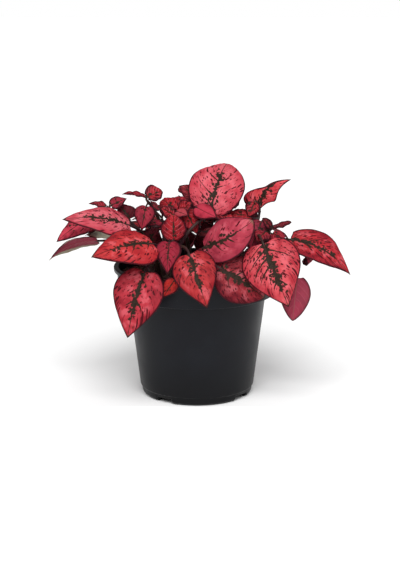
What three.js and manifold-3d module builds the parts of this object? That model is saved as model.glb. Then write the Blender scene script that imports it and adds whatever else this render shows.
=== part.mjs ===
// A potted polka dot plant: a black nursery pot, a block of peat, and leafy shoots that stand in the peat.
// Millimetres, +Z up, the front of the plant towards -Y. The origin is on the ground, under the middle of the pot.
import * as THREE from "three";
import { mergeVertices } from "three/addons/utils/BufferGeometryUtils.js";
import Module from "manifold-3d";

const wasm = await Module();
wasm.setup();

// ---- Driving dimensions ----

const POT_HEIGHT = 94;
const LIP_RADIUS = 60; // the rolled lip, the widest part of the pot
const LIP_DROP = 3.2; // height of the lip
const COLLAR_TOP_RADIUS = 57.6;
const COLLAR_FOOT_RADIUS = 56.6;
const COLLAR_FOOT = 75; // height at which the wide collar ends
const BODY_TOP_RADIUS = 49.8;
const BODY_FOOT_RADIUS = 41.3;
const BODY_FOOT = 5.6; // height of the crease above the rounded foot
const FOOT_RADIUS = 37.5; // outer edge of the ring that the pot stands on
const FOOT_RING_WIDTH = 3.5;
const FLOOR_HEIGHT = 3; // the underside of the floor, above the ground
const WALL = 1.3;
const POT_SIDES = 44;
const NOTCH = { count: 4, first: -36, width: 13, height: 2.8 }; // drain notches in the foot, in degrees and mm
const DRAIN = { count: 6, radius: 3.2, circle: 26, sides: 10 }; // holes through the floor

const GAP = 0.3; // clearance between pieces that rest on each other
const SOIL_TOP = 87; // mean height of the peat
const SOIL_RINGS = 4;
const SOIL_SIDES = 30;

const HOLE_DEPTH = 12; // how far a stem stands in the peat
const HOLE_CLEARANCE = 0.45; // round the stem
const HOLE_SIDES = 8;
const STEM_FOOT_RADIUS = 1.9;
const STEM_TOP_RADIUS = 0.8;
const STEM_STEPS = 7;
const STEM_SIDES = 6;
const PETIOLE_RADIUS = 0.85;
const PETIOLE_SIDES = 4;
const PETIOLE_END_RADIUS = 0.25;
const PETIOLE_SUNK = 0.09; // share of the blade that the petiole's end runs into
const PETIOLE_BEND = 0.45; // how far from the blade the petiole bends, by their distance
const SMALL_PETIOLE = 0.75; // how thick the petiole of a small leaf is, by that of a long one
const BLADE_THICKNESS = 0.8;
const BLADE_LOBE = 0.1; // how far the base of a blade reaches back past its petiole, by its width
const LONG_LEAF = 30; // a leaf this long gets more rows of faces
const WIDE_LEAF = 28; // a leaf this wide gets more faces across

// ---- Small helpers ----

const point = (p) => new THREE.Vector3(...p);
const radians = THREE.MathUtils.degToRad;
const mix = (a, b, t) => a + (b - a) * t;

function material(colour, roughness, metalness = 0) {
  return new THREE.MeshStandardMaterial({ color: colour, roughness, metalness });
}

function geometryOf(positions, indices) {
  const geometry = new THREE.BufferGeometry();
  geometry.setAttribute("position", new THREE.Float32BufferAttribute(positions, 3));
  geometry.setIndex(indices);
  return geometry;
}

// A closed geometry as a solid, and a solid as a geometry.
function solidFrom(geometry) {
  const bare = geometry.clone();
  bare.deleteAttribute("normal");
  bare.deleteAttribute("uv");
  const merged = mergeVertices(bare, 1e-4);
  const vertProperties = merged.attributes.position.array;
  const triVerts = new Uint32Array(merged.index.array);
  return new wasm.Manifold(new wasm.Mesh({ numProp: 3, vertProperties, triVerts }));
}

function geometryFrom(solid) {
  const mesh = solid.getMesh();
  return geometryOf(Array.from(mesh.vertProperties), Array.from(mesh.triVerts));
}

function named(name, geometry, finish) {
  geometry.computeVertexNormals();
  const mesh = new THREE.Mesh(geometry, finish);
  mesh.name = name;
  return mesh;
}

function uprightCylinder(radius, low, high, sides, x, y) {
  const geometry = new THREE.CylinderGeometry(radius, radius, high - low, sides);
  return geometry.rotateX(Math.PI / 2).translate(x, y, (low + high) / 2);
}

// ---- Pot ----

// The inside of the pot as [radius, height], from the floor to the mouth, drawn in by a clearance.
function innerProfile(clearance) {
  const slope = (BODY_TOP_RADIUS - BODY_FOOT_RADIUS) / (COLLAR_FOOT - BODY_FOOT);
  const floor = FLOOR_HEIGHT + WALL + clearance;
  const ledge = COLLAR_FOOT + WALL + clearance;
  const bodyRadius = (z) => BODY_FOOT_RADIUS + slope * (z - BODY_FOOT) - WALL - clearance;
  return [
    [BODY_FOOT_RADIUS - WALL - clearance - 3, floor],
    [bodyRadius(BODY_FOOT + 3), BODY_FOOT + 3],
    [bodyRadius(ledge), ledge],
    [COLLAR_FOOT_RADIUS - WALL - clearance, ledge + 0.6],
    [COLLAR_TOP_RADIUS - WALL - clearance, POT_HEIGHT],
  ];
}

function potSolid() {
  const ringInner = FOOT_RADIUS - FOOT_RING_WIDTH;
  const lipFoot = POT_HEIGHT - LIP_DROP;
  const outside = [
    [0, FLOOR_HEIGHT],
    [ringInner - 1, FLOOR_HEIGHT],
    [ringInner, 0],
    [FOOT_RADIUS, 0],
    [mix(FOOT_RADIUS, BODY_FOOT_RADIUS, 0.62), BODY_FOOT * 0.28],
    [BODY_FOOT_RADIUS, BODY_FOOT],
    [BODY_TOP_RADIUS, COLLAR_FOOT],
    [COLLAR_FOOT_RADIUS - 0.8, COLLAR_FOOT],
    [COLLAR_FOOT_RADIUS, COLLAR_FOOT + 0.8],
    [COLLAR_TOP_RADIUS, lipFoot],
    [LIP_RADIUS - 0.6, lipFoot],
    [LIP_RADIUS, lipFoot + 0.7],
    [LIP_RADIUS, POT_HEIGHT - 0.8],
    [LIP_RADIUS - 0.8, POT_HEIGHT],
  ];
  const inside = innerProfile(0).reverse();
  const profile = [...outside, ...inside, [0, FLOOR_HEIGHT + WALL]];
  const outline = profile.map(([r, z]) => new THREE.Vector2(r, z));
  const shell = new THREE.LatheGeometry(outline, POT_SIDES).rotateX(Math.PI / 2);
  let pot = solidFrom(shell);
  for (let i = 0; i < NOTCH.count; i++) {
    const turn = radians(NOTCH.first + (360 / NOTCH.count) * i - 90);
    const notch = new THREE.BoxGeometry(14, NOTCH.width, NOTCH.height * 2);
    notch.translate(FOOT_RADIUS, 0, 0).rotateZ(turn);
    pot = pot.subtract(solidFrom(notch));
  }
  for (let i = 0; i < DRAIN.count; i++) {
    const turn = (2 * Math.PI * i) / DRAIN.count;
    const [x, y] = [DRAIN.circle * Math.cos(turn), DRAIN.circle * Math.sin(turn)];
    const hole = uprightCylinder(DRAIN.radius, FLOOR_HEIGHT - 1, FLOOR_HEIGHT + WALL + 1, DRAIN.sides, x, y);
    pot = pot.subtract(solidFrom(hole));
  }
  return pot;
}

// ---- Soil ----

// Height of the crumbly peat surface.
function soilHeight(x, y) {
  const broad = 0.9 * Math.sin(0.11 * x + 0.6) * Math.cos(0.13 * y - 0.4);
  const lumps = 0.6 * Math.sin(0.31 * x - 0.2 * y) + 0.5 * Math.cos(0.37 * y + 0.24 * x);
  return SOIL_TOP + broad + lumps;
}

function soilSolid(feet) {
  const wall = innerProfile(GAP).slice(0, 4);
  const rimRadius = wall[3][0] + 0.2;
  const positions = [0, 0, soilHeight(0, 0)];
  const indices = [];
  const rings = [];
  const addRing = (radius, height) => {
    rings.push(positions.length / 3);
    for (let i = 0; i < SOIL_SIDES; i++) {
      const turn = (2 * Math.PI * i) / SOIL_SIDES;
      const [x, y] = [radius * Math.cos(turn), radius * Math.sin(turn)];
      positions.push(x, y, height ?? soilHeight(x, y));
    }
  };
  for (let ring = 1; ring <= SOIL_RINGS; ring++) addRing((rimRadius * ring) / SOIL_RINGS);
  for (const [radius, height] of wall.reverse()) addRing(radius, height);
  const last = positions.length / 3;
  positions.push(0, 0, FLOOR_HEIGHT + WALL + GAP);
  for (let i = 0; i < SOIL_SIDES; i++) {
    const next = (i + 1) % SOIL_SIDES;
    indices.push(0, rings[0] + i, rings[0] + next);
    for (let ring = 1; ring < rings.length; ring++) {
      const [a, b] = [rings[ring - 1], rings[ring]];
      indices.push(a + i, b + i, b + next, a + i, b + next, a + next);
    }
    indices.push(rings.at(-1) + i, last, rings.at(-1) + next);
  }
  let soil = solidFrom(geometryOf(positions, indices));
  for (const [x, y] of feet) {
    const radius = STEM_FOOT_RADIUS + HOLE_CLEARANCE;
    const hole = uprightCylinder(radius, SOIL_TOP - HOLE_DEPTH - GAP, SOIL_TOP + 8, HOLE_SIDES, x, y);
    soil = soil.subtract(solidFrom(hole));
  }
  return soil;
}

// ---- Stems and petioles ----

// A round rod through a list of points, with one radius for each.
function rod(path, radii, sides) {
  const positions = [];
  const indices = [];
  let across = null;
  path.forEach((centre, i) => {
    const along = path[Math.min(i + 1, path.length - 1)].clone().sub(path[Math.max(i - 1, 0)]).normalize();
    const guess = across ?? (Math.abs(along.z) > 0.7 ? point([1, 0, 0]) : point([0, 0, 1]));
    across = guess.clone().addScaledVector(along, -guess.dot(along)).normalize();
    const third = along.clone().cross(across);
    for (let k = 0; k < sides; k++) {
      const turn = (2 * Math.PI * k) / sides;
      const corner = centre.clone();
      corner.addScaledVector(across, radii[i] * Math.cos(turn)).addScaledVector(third, radii[i] * Math.sin(turn));
      positions.push(...corner);
    }
  });
  for (let i = 0; i + 1 < path.length; i++)
    for (let k = 0; k < sides; k++) {
      const [a, b] = [i * sides + k, i * sides + ((k + 1) % sides)];
      indices.push(a, b, b + sides, a, b + sides, a + sides);
    }
  const top = (path.length - 1) * sides;
  for (let k = 1; k + 1 < sides; k++) indices.push(0, k + 1, k, top, top + k, top + k + 1);
  return geometryOf(positions, indices);
}

const arc = (a, b, c) => new THREE.QuadraticBezierCurve3(a, b, c);

// The line of a shoot above the peat: it leaves its foot upright, bends at the knee and ends at its top.
function stemCurve({ foot, knee, top }) {
  return arc(point([foot[0], foot[1], SOIL_TOP + 2]), point(knee), point(top));
}

function stemGeometry(shoot) {
  const curve = stemCurve(shoot);
  const buried = point([shoot.foot[0], shoot.foot[1], SOIL_TOP - HOLE_DEPTH]);
  const path = [buried, ...curve.getPoints(STEM_STEPS)];
  const radii = path.map((_, i) => mix(STEM_FOOT_RADIUS, STEM_TOP_RADIUS, Math.max(0, i - 1) / STEM_STEPS));
  return rod(path, radii, STEM_SIDES);
}

function petioleGeometry(leaf, curve) {
  const shape = bladeShape(leaf);
  const start = curve.getPoint(leaf.at);
  const base = shape.at(0, 0);
  const ahead = shape.at(PETIOLE_SUNK, 0);
  const reach = start.distanceTo(base) * PETIOLE_BEND;
  const bend = base.clone().addScaledVector(ahead.clone().sub(base).normalize(), -reach);
  const long = leaf.length >= LONG_LEAF;
  const path = [...arc(start, bend, base).getPoints(long ? 3 : 2), ahead];
  const thin = long ? 1 : SMALL_PETIOLE;
  const radii = path.map((_, i) => (i + 1 < path.length ? PETIOLE_RADIUS * thin : PETIOLE_END_RADIUS));
  return rod(path, radii, PETIOLE_SIDES);
}

// ---- Leaf blades ----

// Half of the outline of an ovate blade, as a share of its half width, from base (0) to tip (1). The higher its
// taper, the longer its point.
const POINTED = 1.1;
const SKEW_FAR_SIDE = 0.7; // how much of its skew a blade loses on its narrow side
function outlineAt(s, taper) {
  const widest = 0.5 / (0.5 + taper);
  return (Math.sqrt(s) * (1 - s) ** taper) / (Math.sqrt(widest) * (1 - widest) ** taper);
}

// A blade runs from base to tip. Its upper side looks towards face, its midrib rises by bow and bends sideways by
// sway, and its halves fold up (or down, if negative). A skewed blade is broad on one side near its base, and
// narrow there on the other.
function bladeShape({ base, tip, width, face, bow = 0, fold = 0, sway = 0, skew = 0, taper = POINTED }) {
  const from = point(base);
  const along = point(tip).sub(from);
  const length = along.length();
  along.normalize();
  const up = point(face);
  up.addScaledVector(along, -up.dot(along)).normalize();
  const side = up.clone().cross(along);
  const at = (s, v) => {
    const lean = Math.cos(Math.PI * Math.min(1, 2 * s));
    const uneven = v > 0 ? 1 + skew * lean : 1 - SKEW_FAR_SIDE * skew * Math.max(0, lean);
    const half = (width / 2) * outlineAt(s, taper) * uneven;
    const arch = 4 * s * (1 - s);
    const bend = Math.atan((4 * sway * (1 - 2 * s)) / length);
    const across = half * v * Math.cos(bend) + sway * arch;
    const rise = half * fold * Math.abs(v) ** 1.4 + bow * arch;
    const back = BLADE_LOBE * width * v * v * (1 - s) ** 5 + half * v * Math.sin(bend);
    const spot = from.clone().addScaledVector(along, length * s - back);
    return spot.addScaledVector(side, across).addScaledVector(up, rise);
  };
  const normal = (s, v) => {
    const t = THREE.MathUtils.clamp(s, 0.04, 0.96);
    const alongHere = at(t + 0.01, v).sub(at(t - 0.01, v));
    const acrossHere = at(t, v + 0.05).sub(at(t, v - 0.05));
    return alongHere.cross(acrossHere).normalize();
  };
  return { at, normal };
}

// Both faces of a blade on one grid, closed round the edge. Each square is split the same way on both faces.
function bladeGeometry(leaf) {
  const shape = bladeShape(leaf);
  const rows = leaf.length >= LONG_LEAF ? 6 : 5;
  const across = leaf.width >= WIDE_LEAF ? [-1, -0.5, 0, 0.5, 1] : [-1, 0, 1];
  const grid = [];
  for (let row = 0; row <= rows; row++) {
    const s = (1 - Math.cos((Math.PI * row) / rows)) / 2;
    const ends = row === 0 || row === rows;
    grid.push((ends ? [0] : across).map((v) => [s, v]));
  }
  const positions = [];
  const first = [];
  for (const line of grid) {
    first.push(positions.length / 6);
    for (const [s, v] of line) {
      const middle = shape.at(s, v);
      const half = shape.normal(s, v).multiplyScalar(BLADE_THICKNESS / 2);
      positions.push(...middle.clone().add(half), ...middle.clone().sub(half));
    }
  }
  const indices = [];
  const upper = (k) => 2 * k;
  const lower = (k) => 2 * k + 1;
  const bothFaces = (a, b, c) => {
    indices.push(upper(a), upper(b), upper(c), lower(a), lower(c), lower(b));
  };
  const edge = (a, b) => indices.push(upper(a), lower(a), lower(b), upper(a), lower(b), upper(b));
  const count = across.length;
  const last = first[rows];
  for (let k = 0; k + 1 < count; k++) {
    bothFaces(0, first[1] + k, first[1] + k + 1);
    for (let row = 1; row + 1 < rows; row++) {
      const [a, b] = [first[row] + k, first[row + 1] + k];
      bothFaces(a, b, b + 1);
      bothFaces(a, b + 1, a + 1);
    }
    bothFaces(first[rows - 1] + k, last, first[rows - 1] + k + 1);
  }
  for (let row = 0; row < rows; row++) {
    const inner = (r, k) => (r === 0 || r === rows ? first[r] : first[r] + k);
    edge(inner(row, 0), inner(row + 1, 0));
    edge(inner(row + 1, count - 1), inner(row, count - 1));
  }
  return geometryOf(positions, indices);
}

// ---- Shoots ----

// A leaf: where on its stem it grows (0 at the peat, 1 at the top), its base and tip, its width and shape.
const leaf = (at, base, tip, width, face, shape = {}) => ({
  at,
  base,
  tip,
  width,
  face,
  length: point(base).distanceTo(point(tip)),
  ...shape,
});

// The shoots at the front and sides, each leaf placed where it grows on the plant.
const frontShoots = {
  shoot_left: {
    foot: [-24, -6],
    knee: [-34, -6, 122],
    top: [-62, -6, 136],
    leaves: [
      leaf(0.55, [-47, -22, 127], [-93, -32, 133], 30, [0, -5, 9], { bow: 4.5, fold: -0.05 }),
      leaf(0.85, [-70, 2, 130], [-100, -7, 112], 23, [-5, -6, 5], { bow: 3 }),
      leaf(1, [-65, -5, 137], [-77, -3, 140], 9, [0, -2, 8], { fold: 0.4 }),
      leaf(1, [-61, -4, 138], [-50, -1, 143], 10, [-1, -7, 5], { fold: 0.2 }),
      leaf(0.8, [-48, -2, 128], [-56, 4, 138], 15, [0, -8, 4], { bow: 1 }),
    ],
  },
  shoot_left_low: {
    foot: [-34, -2],
    knee: [-44, 8, 106],
    top: [-62, 9, 112],
    leaves: [
      leaf(0.95, [-72, 8, 110], [-107, 5, 96], 23, [1, 5, 9], { bow: 5 }),
      leaf(0.75, [-60, 15, 114], [-81, 7, 114], 25, [0, 5, 8], { bow: 2 }),
      leaf(0.6, [-50, -8, 108], [-72, -17, 107], 18, [0, -3, 8], { bow: 3 }),
      leaf(0.45, [-36, 6, 106], [-28, 4, 121], 20, [0, -8, 3], { bow: 2 }),
    ],
  },
  shoot_front_left: {
    foot: [-26, -22],
    knee: [-29, -28, 110],
    top: [-31, -40, 114],
    leaves: [
      leaf(0.95, [-30, -52, 120], [-70, -76, 116], 35, [-1, -6, 7], { bow: 4, fold: -0.1 }),
      leaf(0.5, [-35, -57, 102], [-47, -67, 58], 35, [-2, -9, 3], { bow: 5 }),
      leaf(0.35, [-15, -60, 97], [-23, -62, 85], 11, [0, -9, 3]),
      leaf(0.75, [-40, -34, 112], [-66, -34, 108], 22, [0, -1, 8], { bow: 3 }),
    ],
  },
  shoot_mid_left: {
    foot: [-14, -10],
    knee: [-22, -14, 128],
    top: [-35, -26, 146],
    leaves: [
      leaf(1, [-36, -26, 148], [-51.5, -28, 151.5], 11, [0, -1, 8], { fold: 0.3 }),
      leaf(1, [-34, -26, 148], [-24, -23, 152], 14, [-2, -7, 6], { fold: 0.35, taper: 0.7 }),
      leaf(0.93, [-35, -30, 142], [-38, -38, 127], 15, [0, -8, 5], { bow: 2 }),
      leaf(0.8, [-25, -24, 130], [-37, -30, 129], 12, [0, -1, 8]),
    ],
  },
  shoot_centre: {
    foot: [-8, -34],
    knee: [-12, -36, 112],
    top: [-18, -43, 119],
    leaves: [
      leaf(0.75, [-5, -62, 115], [7, -79, 82], 30, [-1, -8, 5], { bow: 4 }),
      leaf(1, [-16, -42, 121], [-16, -37, 138], 18, [0, -9, 2], { bow: 1, taper: 0.75 }),
      leaf(1, [-19, -46, 120], [-20, -60, 101], 17, [0, -7, 6], { bow: 2, fold: 0.4 }),
    ],
  },
  shoot_front_right: {
    foot: [6, -26],
    knee: [8, -36, 100],
    top: [12, -42, 108],
    leaves: [
      leaf(0.9, [16, -60, 105], [46, -58, 84], 33, [0, -9, 4], { bow: 4, taper: 0.8 }),
      leaf(1, [5, -44, 116], [38, -56, 137], 31, [0, -8, 6], { bow: 4, sway: -4, taper: 0.62 }),
      leaf(0.95, [11, -48, 108], [31, -58, 109], 18, [0, -6, 7]),
      leaf(0.75, [7, -27, 105], [12, -2, 106], 20, [0, -1, 8], { bow: 3 }),
    ],
  },
  shoot_right: {
    foot: [22, -20],
    knee: [34, -26, 112],
    top: [52, -33, 127],
    leaves: [
      leaf(1, [51, -34, 128], [45.5, -36, 135], 6, [2, -7, 3], { fold: 0.4, taper: 0.7 }),
      leaf(1, [52.5, -33, 128], [65, -34, 132.5], 7, [0, -3, 8], { bow: -1.5, fold: 0.4, taper: 0.5 }),
      leaf(0.92, [47, -36, 125], [41, -45, 120], 13, [-1, -7, 6], { bow: 1 }),
      leaf(0.92, [52, -36, 124], [61, -43, 120], 12, [1, -6, 7], { bow: 1 }),
      leaf(0.75, [45, -56, 121], [62, -68, 80], 40, [-1, -9, 4], { bow: 5 }),
      leaf(0.5, [69, -46, 95], [66, -52, 66], 21, [1, 8, 2], { bow: -3, taper: 0.85 }),
      leaf(0.6, [46, -25, 107], [73, -17, 100], 18, [1, 0, 8], { bow: 3 }),
      leaf(0.85, [45, -28, 131], [37, -34, 111], 18, [-1, -8, 4], { bow: 2 }),
    ],
  },
  shoot_far_right: {
    foot: [28, -2],
    knee: [40, -8, 116],
    top: [60, -20, 117],
    leaves: [
      leaf(0.97, [65, -27, 118], [107, -33, 94], 29, [2, -6, 8], { bow: 8, fold: 0.12 }),
      leaf(0.9, [76, -21, 107], [83, -23, 99], 8, [3, -5, 4], { bow: 1.5, taper: 0.6 }),
    ],
  },
  shoot_top: {
    foot: [-16, -22],
    knee: [-17, -50, 127],
    top: [12, -22, 137],
    leaves: [
      leaf(0.97, [9.5, -17, 135], [22, 22, 164], 40, [0, -5, 8], { bow: 9, taper: 0.85 }),
      leaf(1, [6, 2, 142], [-13, 8, 150], 20, [0, -7, 7]),
      leaf(0.95, [-0.5, -26, 140.8], [14, -38, 135.5], 14, [0, -7, 6]),
      leaf(0.95, [13, -18, 134], [27, -19, 131], 12, [0, -4, 9], { bow: 1 }),
    ],
  },
  shoot_top_right: {
    foot: [18, 8],
    knee: [44, 4, 114],
    top: [45, 3, 134],
    leaves: [
      leaf(1, [45, 3, 135], [67, 0, 156], 19.5, [0, -9, 3], { bow: 2, sway: 6.5, skew: 0.8 }),
      leaf(0.97, [41, -3, 140], [36.5, -9, 130.5], 11, [0, -8, 4]),
      leaf(0.85, [38, -7, 130], [21, -10, 133], 18, [0, -4, 9], { bow: 1 }),
      leaf(0.7, [41, 4, 121], [25, 8, 131], 21, [0, -7, 5], { bow: 2 }),
      leaf(0.35, [11, 11, 104], [5, 8, 124], 24, [0, -8, 3], { bow: 2 }),
    ],
  },
  shoot_heart: {
    foot: [-4, 0],
    knee: [-6, -8, 118],
    top: [-12, -24, 134],
    leaves: [
      leaf(1, [-13, -22, 136], [-25, -10, 144], 18, [0, -7, 6], { bow: 1, taper: 0.8 }),
      leaf(1, [-11, -25, 137], [-4, -28, 144.5], 13, [0, -6, 7], { fold: 0.3, taper: 0.8 }),
      leaf(1, [-14, -29, 138.5], [-6, -39, 137.5], 10, [0, -7, 6]),
      leaf(0.95, [-8, -25, 138], [0.5, -30, 122.5], 15, [1, -8, 4], { bow: 1, fold: 0.3 }),
      leaf(1, [-16, -29, 136], [-25, -31, 141.5], 12, [0, -6, 7]),
      leaf(1, [-12, -20, 138], [-12, -7, 146], 15, [0, -6, 7], { taper: 0.8 }),
      leaf(0.7, [4, -8, 120], [20, -20, 118], 17, [0, -3, 8], { bow: 2 }),
      leaf(0.35, [-10, 6, 106], [-16, 4, 121], 22, [0, -8, 3], { bow: 2 }),
    ],
  },
};

// The shoots at the back grow by a rule. A leaf is given by how far it stands round the pot from its stem, in
// degrees, and by the distance from the pot's axis and the height of its base and tip, from the shoot's own top.
const BACK_LEAVES = {
  hanging: { at: 0.45, turn: 0, base: [2, -8], tip: [30, -42], width: 29, bow: 6 },
  spread: { at: 0.7, turn: -15, base: [-6, 0], tip: [28, -8], width: 25, bow: 5 },
  upper: { at: 0.9, turn: 10, base: [-12, 8], tip: [12, 9], width: 20, bow: 3 },
  inner: { at: 0.95, turn: -10, base: [-22, 10], tip: [-34, 20], width: 13, bow: 1 },
  bud: { at: 1, turn: 3, base: [-10, 16], tip: [-2, 22], width: 7, bow: 0 },
  shade: { at: 0.92, turn: 4, base: [-12, 2], tip: [18, -1], width: 19, bow: 3 },
};
const SIDE_SET = ["spread", "upper", "inner"];
const FULL_SET = ["hanging", ...SIDE_SET, "bud"];
const BACK_SHOOTS = {
  shoot_back_far_right: { turn: 19, reach: 46, rise: 109, seed: 11, grows: SIDE_SET },
  shoot_back_right: { turn: 44, reach: 48, rise: 114, seed: 5, grows: FULL_SET },
  shoot_back_mid_right: { turn: 74, reach: 53, rise: 112, seed: 3, grows: FULL_SET },
  shoot_back_mid_left: { turn: 104, reach: 48, rise: 115, seed: 21, grows: FULL_SET },
  shoot_back_left: { turn: 133, reach: 48, rise: 112, seed: 8, grows: FULL_SET },
  shoot_back_far_left: { turn: 163, reach: 46, rise: 112, seed: 17, grows: SIDE_SET },
  shoot_back_inner: { turn: 88, reach: 40, rise: 134, seed: 13, grows: ["shade", "upper"] },
};
const BACK_FOOT_REACH = 30;
const BACK_JITTER = 2;

// A repeatable run of numbers from 0 to 1.
function dice(seed) {
  let state = seed * 7919;
  return () => {
    state = (state * 16807) % 2147483647;
    return state / 2147483647;
  };
}

function backShoot({ turn, reach, rise, seed, grows }) {
  const roll = dice(seed);
  const jitter = () => (roll() * 2 - 1) * BACK_JITTER;
  const place = (degrees, radius, height) => {
    const angle = radians(turn + degrees);
    return [radius * Math.cos(angle), radius * Math.sin(angle), height];
  };
  const footReach = Math.min(BACK_FOOT_REACH, reach * 0.75);
  const foot = place(0, footReach, 0).slice(0, 2);
  const knee = place(0, mix(footReach, reach, 0.35), rise - 4);
  const top = place(0, reach - 10, rise + 10);
  const leaves = grows.map((kind) => {
    const { at, turn: away, base, tip, width, bow } = BACK_LEAVES[kind];
    const start = place(away * 0.8, reach + base[0] + jitter(), rise + base[1] + jitter());
    const end = place(away + jitter(), reach + tip[0] + jitter(), rise + tip[1] + jitter());
    const droop = (base[1] - tip[1]) / 20;
    const face = place(away, 0.3 + Math.max(0, droop), 1);
    return leaf(at, start, end, width + jitter(), face, { bow, fold: jitter() * 0.1 });
  });
  return { foot, knee, top, leaves };
}

const shoots = { ...frontShoots };
for (const [name, rule] of Object.entries(BACK_SHOOTS)) shoots[name] = backShoot(rule);

function shootSolid(shoot) {
  const curve = stemCurve(shoot);
  const parts = [solidFrom(stemGeometry(shoot))];
  for (const one of shoot.leaves) {
    parts.push(solidFrom(petioleGeometry(one, curve)));
    parts.push(solidFrom(bladeGeometry(one)));
  }
  return wasm.Manifold.union(parts);
}

// ---- The plant ----

const black = material(0x26282c, 0.45);
const peat = material(0x2a1d15, 0.95);
const foliage = material(0xd8394c, 0.55);

const plant = new THREE.Group();
const feet = Object.values(shoots).map((shoot) => shoot.foot);
plant.add(named("pot", geometryFrom(potSolid()), black));
plant.add(named("soil", geometryFrom(soilSolid(feet)), peat));
for (const [name, shoot] of Object.entries(shoots))
  plant.add(named(name, geometryFrom(shootSolid(shoot)), foliage));

export default plant;
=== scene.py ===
# A red polka dot plant in a black nursery pot, on a pale studio floor.
# +Z is up and the plant's front is towards -Y. The plant, the pot and the peat are given in millimetres, and
# MM turns them into Blender's metres. Patterns of the materials and the studio are in metres.
import math

import bmesh
import bpy
import numpy as np
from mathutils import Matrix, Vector, noise


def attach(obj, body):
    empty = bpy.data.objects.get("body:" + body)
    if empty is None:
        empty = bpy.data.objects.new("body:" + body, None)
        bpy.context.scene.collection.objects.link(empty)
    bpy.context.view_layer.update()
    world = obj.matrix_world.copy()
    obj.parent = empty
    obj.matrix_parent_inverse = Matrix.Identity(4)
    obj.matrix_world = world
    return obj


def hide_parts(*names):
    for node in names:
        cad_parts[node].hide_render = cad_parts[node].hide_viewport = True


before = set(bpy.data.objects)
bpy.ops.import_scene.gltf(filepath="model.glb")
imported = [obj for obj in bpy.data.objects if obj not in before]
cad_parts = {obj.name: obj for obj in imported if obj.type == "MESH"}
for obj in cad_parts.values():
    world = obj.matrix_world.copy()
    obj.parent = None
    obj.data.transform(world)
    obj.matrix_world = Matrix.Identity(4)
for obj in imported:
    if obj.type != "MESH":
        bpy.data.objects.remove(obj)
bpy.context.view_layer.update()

MM = 0.001

# ---- The growth plan: where each shoot and leaf stands ----

SOIL_TOP = 87
STEM_FOOT_RADIUS = 1.9
STEM_TOP_RADIUS = 0.8
PETIOLE_RADIUS = 0.85
BLADE_LOBE = 0.1  # how far a blade runs back beside its stalk, by its width
LONG_LEAF = 30  # leaves from this length on have more side veins, a finer mesh and a full stalk
SHORT_LEAF = 14  # leaves under this length have a coarser mesh
POINTED = 1.1  # the usual taper: the more of it, the nearer to its base a blade is widest


def colour(red, green, blue):
    """A colour given as on a screen, from 0 to 255, as Blender's linear colour."""
    def linear(c):
        c = c / 255
        return c / 12.92 if c <= 0.04045 else ((c + 0.055) / 1.055) ** 2.4
    return (linear(red), linear(green), linear(blue), 1.0)


PAINT = 0.69  # how dark a leaf is painted, because the studio's light is brighter than a screen's white


def look(ground, edge, rib=0.5, freckles=0.3, net=0.0, crinkle=0.0, pale=0.0):
    """The look of a leaf: its ground and edge colours, how broad its dark midrib is, how freckled it is, how
    its side veins stand out (light above 0, dark below), how crinkled it is, how pale its underside is."""
    ground, edge = (tuple(PAINT * c for c in colour(*shade)[:3]) for shade in (ground, edge))
    return dict(ground=ground, edge=edge, rib=rib, freckles=freckles, net=net, crinkle=crinkle, pale=pale)


LOOKS = {
    "rose": look((220, 98, 110), (192, 59, 75), rib=0.85, freckles=0.6),
    "rose_dark": look((202, 66, 84), (132, 30, 48), rib=0.4, freckles=0.45),
    "scarlet": look((206, 62, 64), (168, 35, 44), rib=0.85, freckles=0.7),
    "crimson": look((196, 60, 72), (148, 35, 47), rib=1.1, freckles=0.7),
    "coral": look((190, 56, 60), (152, 34, 41), rib=0.95, freckles=0.75),
    "wine": look((148, 44, 52), (98, 22, 34), rib=1.0, freckles=0.95, net=-0.1),
    "speckled": look((218, 84, 92), (182, 51, 63), rib=1.6, freckles=1.1),
    "streaked": look((192, 50, 58), (142, 30, 42), rib=0.95, freckles=1.0, net=-0.3),
    "pink": look((224, 94, 106), (198, 62, 77), rib=1.1, freckles=0.7),
    "flame": look((236, 86, 93), (200, 52, 63), rib=0.8, freckles=0.6),
    "mauve": look((192, 69, 86), (156, 46, 65), rib=1.0, freckles=0.2, net=-0.15),
    "plain": look((196, 58, 78), (152, 36, 54), rib=0.0, freckles=0.0),
    "veined": look((168, 48, 66), (128, 27, 44), rib=0.35, freckles=0.4, net=-0.8, crinkle=0.4),
    "young": look((150, 31, 44), (92, 17, 30), rib=0.25, freckles=0.1, net=0.25, crinkle=0.9),
    "young_red": look((172, 37, 46), (88, 16, 27), rib=0.35, freckles=0.3, net=0.3, crinkle=0.8),
    "young_pink": look((164, 47, 64), (108, 27, 42), rib=0.4, freckles=0.3, net=-0.3, crinkle=0.8),
    "salmon": look((184, 70, 80), (156, 46, 59), rib=0.1, freckles=0.0, net=0.1, crinkle=0.5),
    "ember": look((200, 50, 44), (146, 32, 34), rib=0.2, freckles=0.25, crinkle=0.5),
    "tiny": look((116, 28, 38), (72, 18, 28), rib=0.3, freckles=0.0, net=0.2, crinkle=0.8),
    # Leaves deep inside the plant, painted dark for the shade there.
    "shade": look((96, 26, 38), (60, 16, 26), rib=0.4, freckles=0.3, net=-0.3, crinkle=0.3),
    "dusty": look((148, 44, 64), (96, 28, 44), rib=0.3, freckles=0.3, net=-0.2, crinkle=0.3),
    "pale_edged": look((200, 58, 78), (134, 30, 50), rib=0.7, freckles=0.7, net=-0.3, pale=0.4),
    "pale_back": look((200, 58, 78), (134, 30, 50), rib=0.7, freckles=0.7, net=-0.3, pale=1.0),
}


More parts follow.
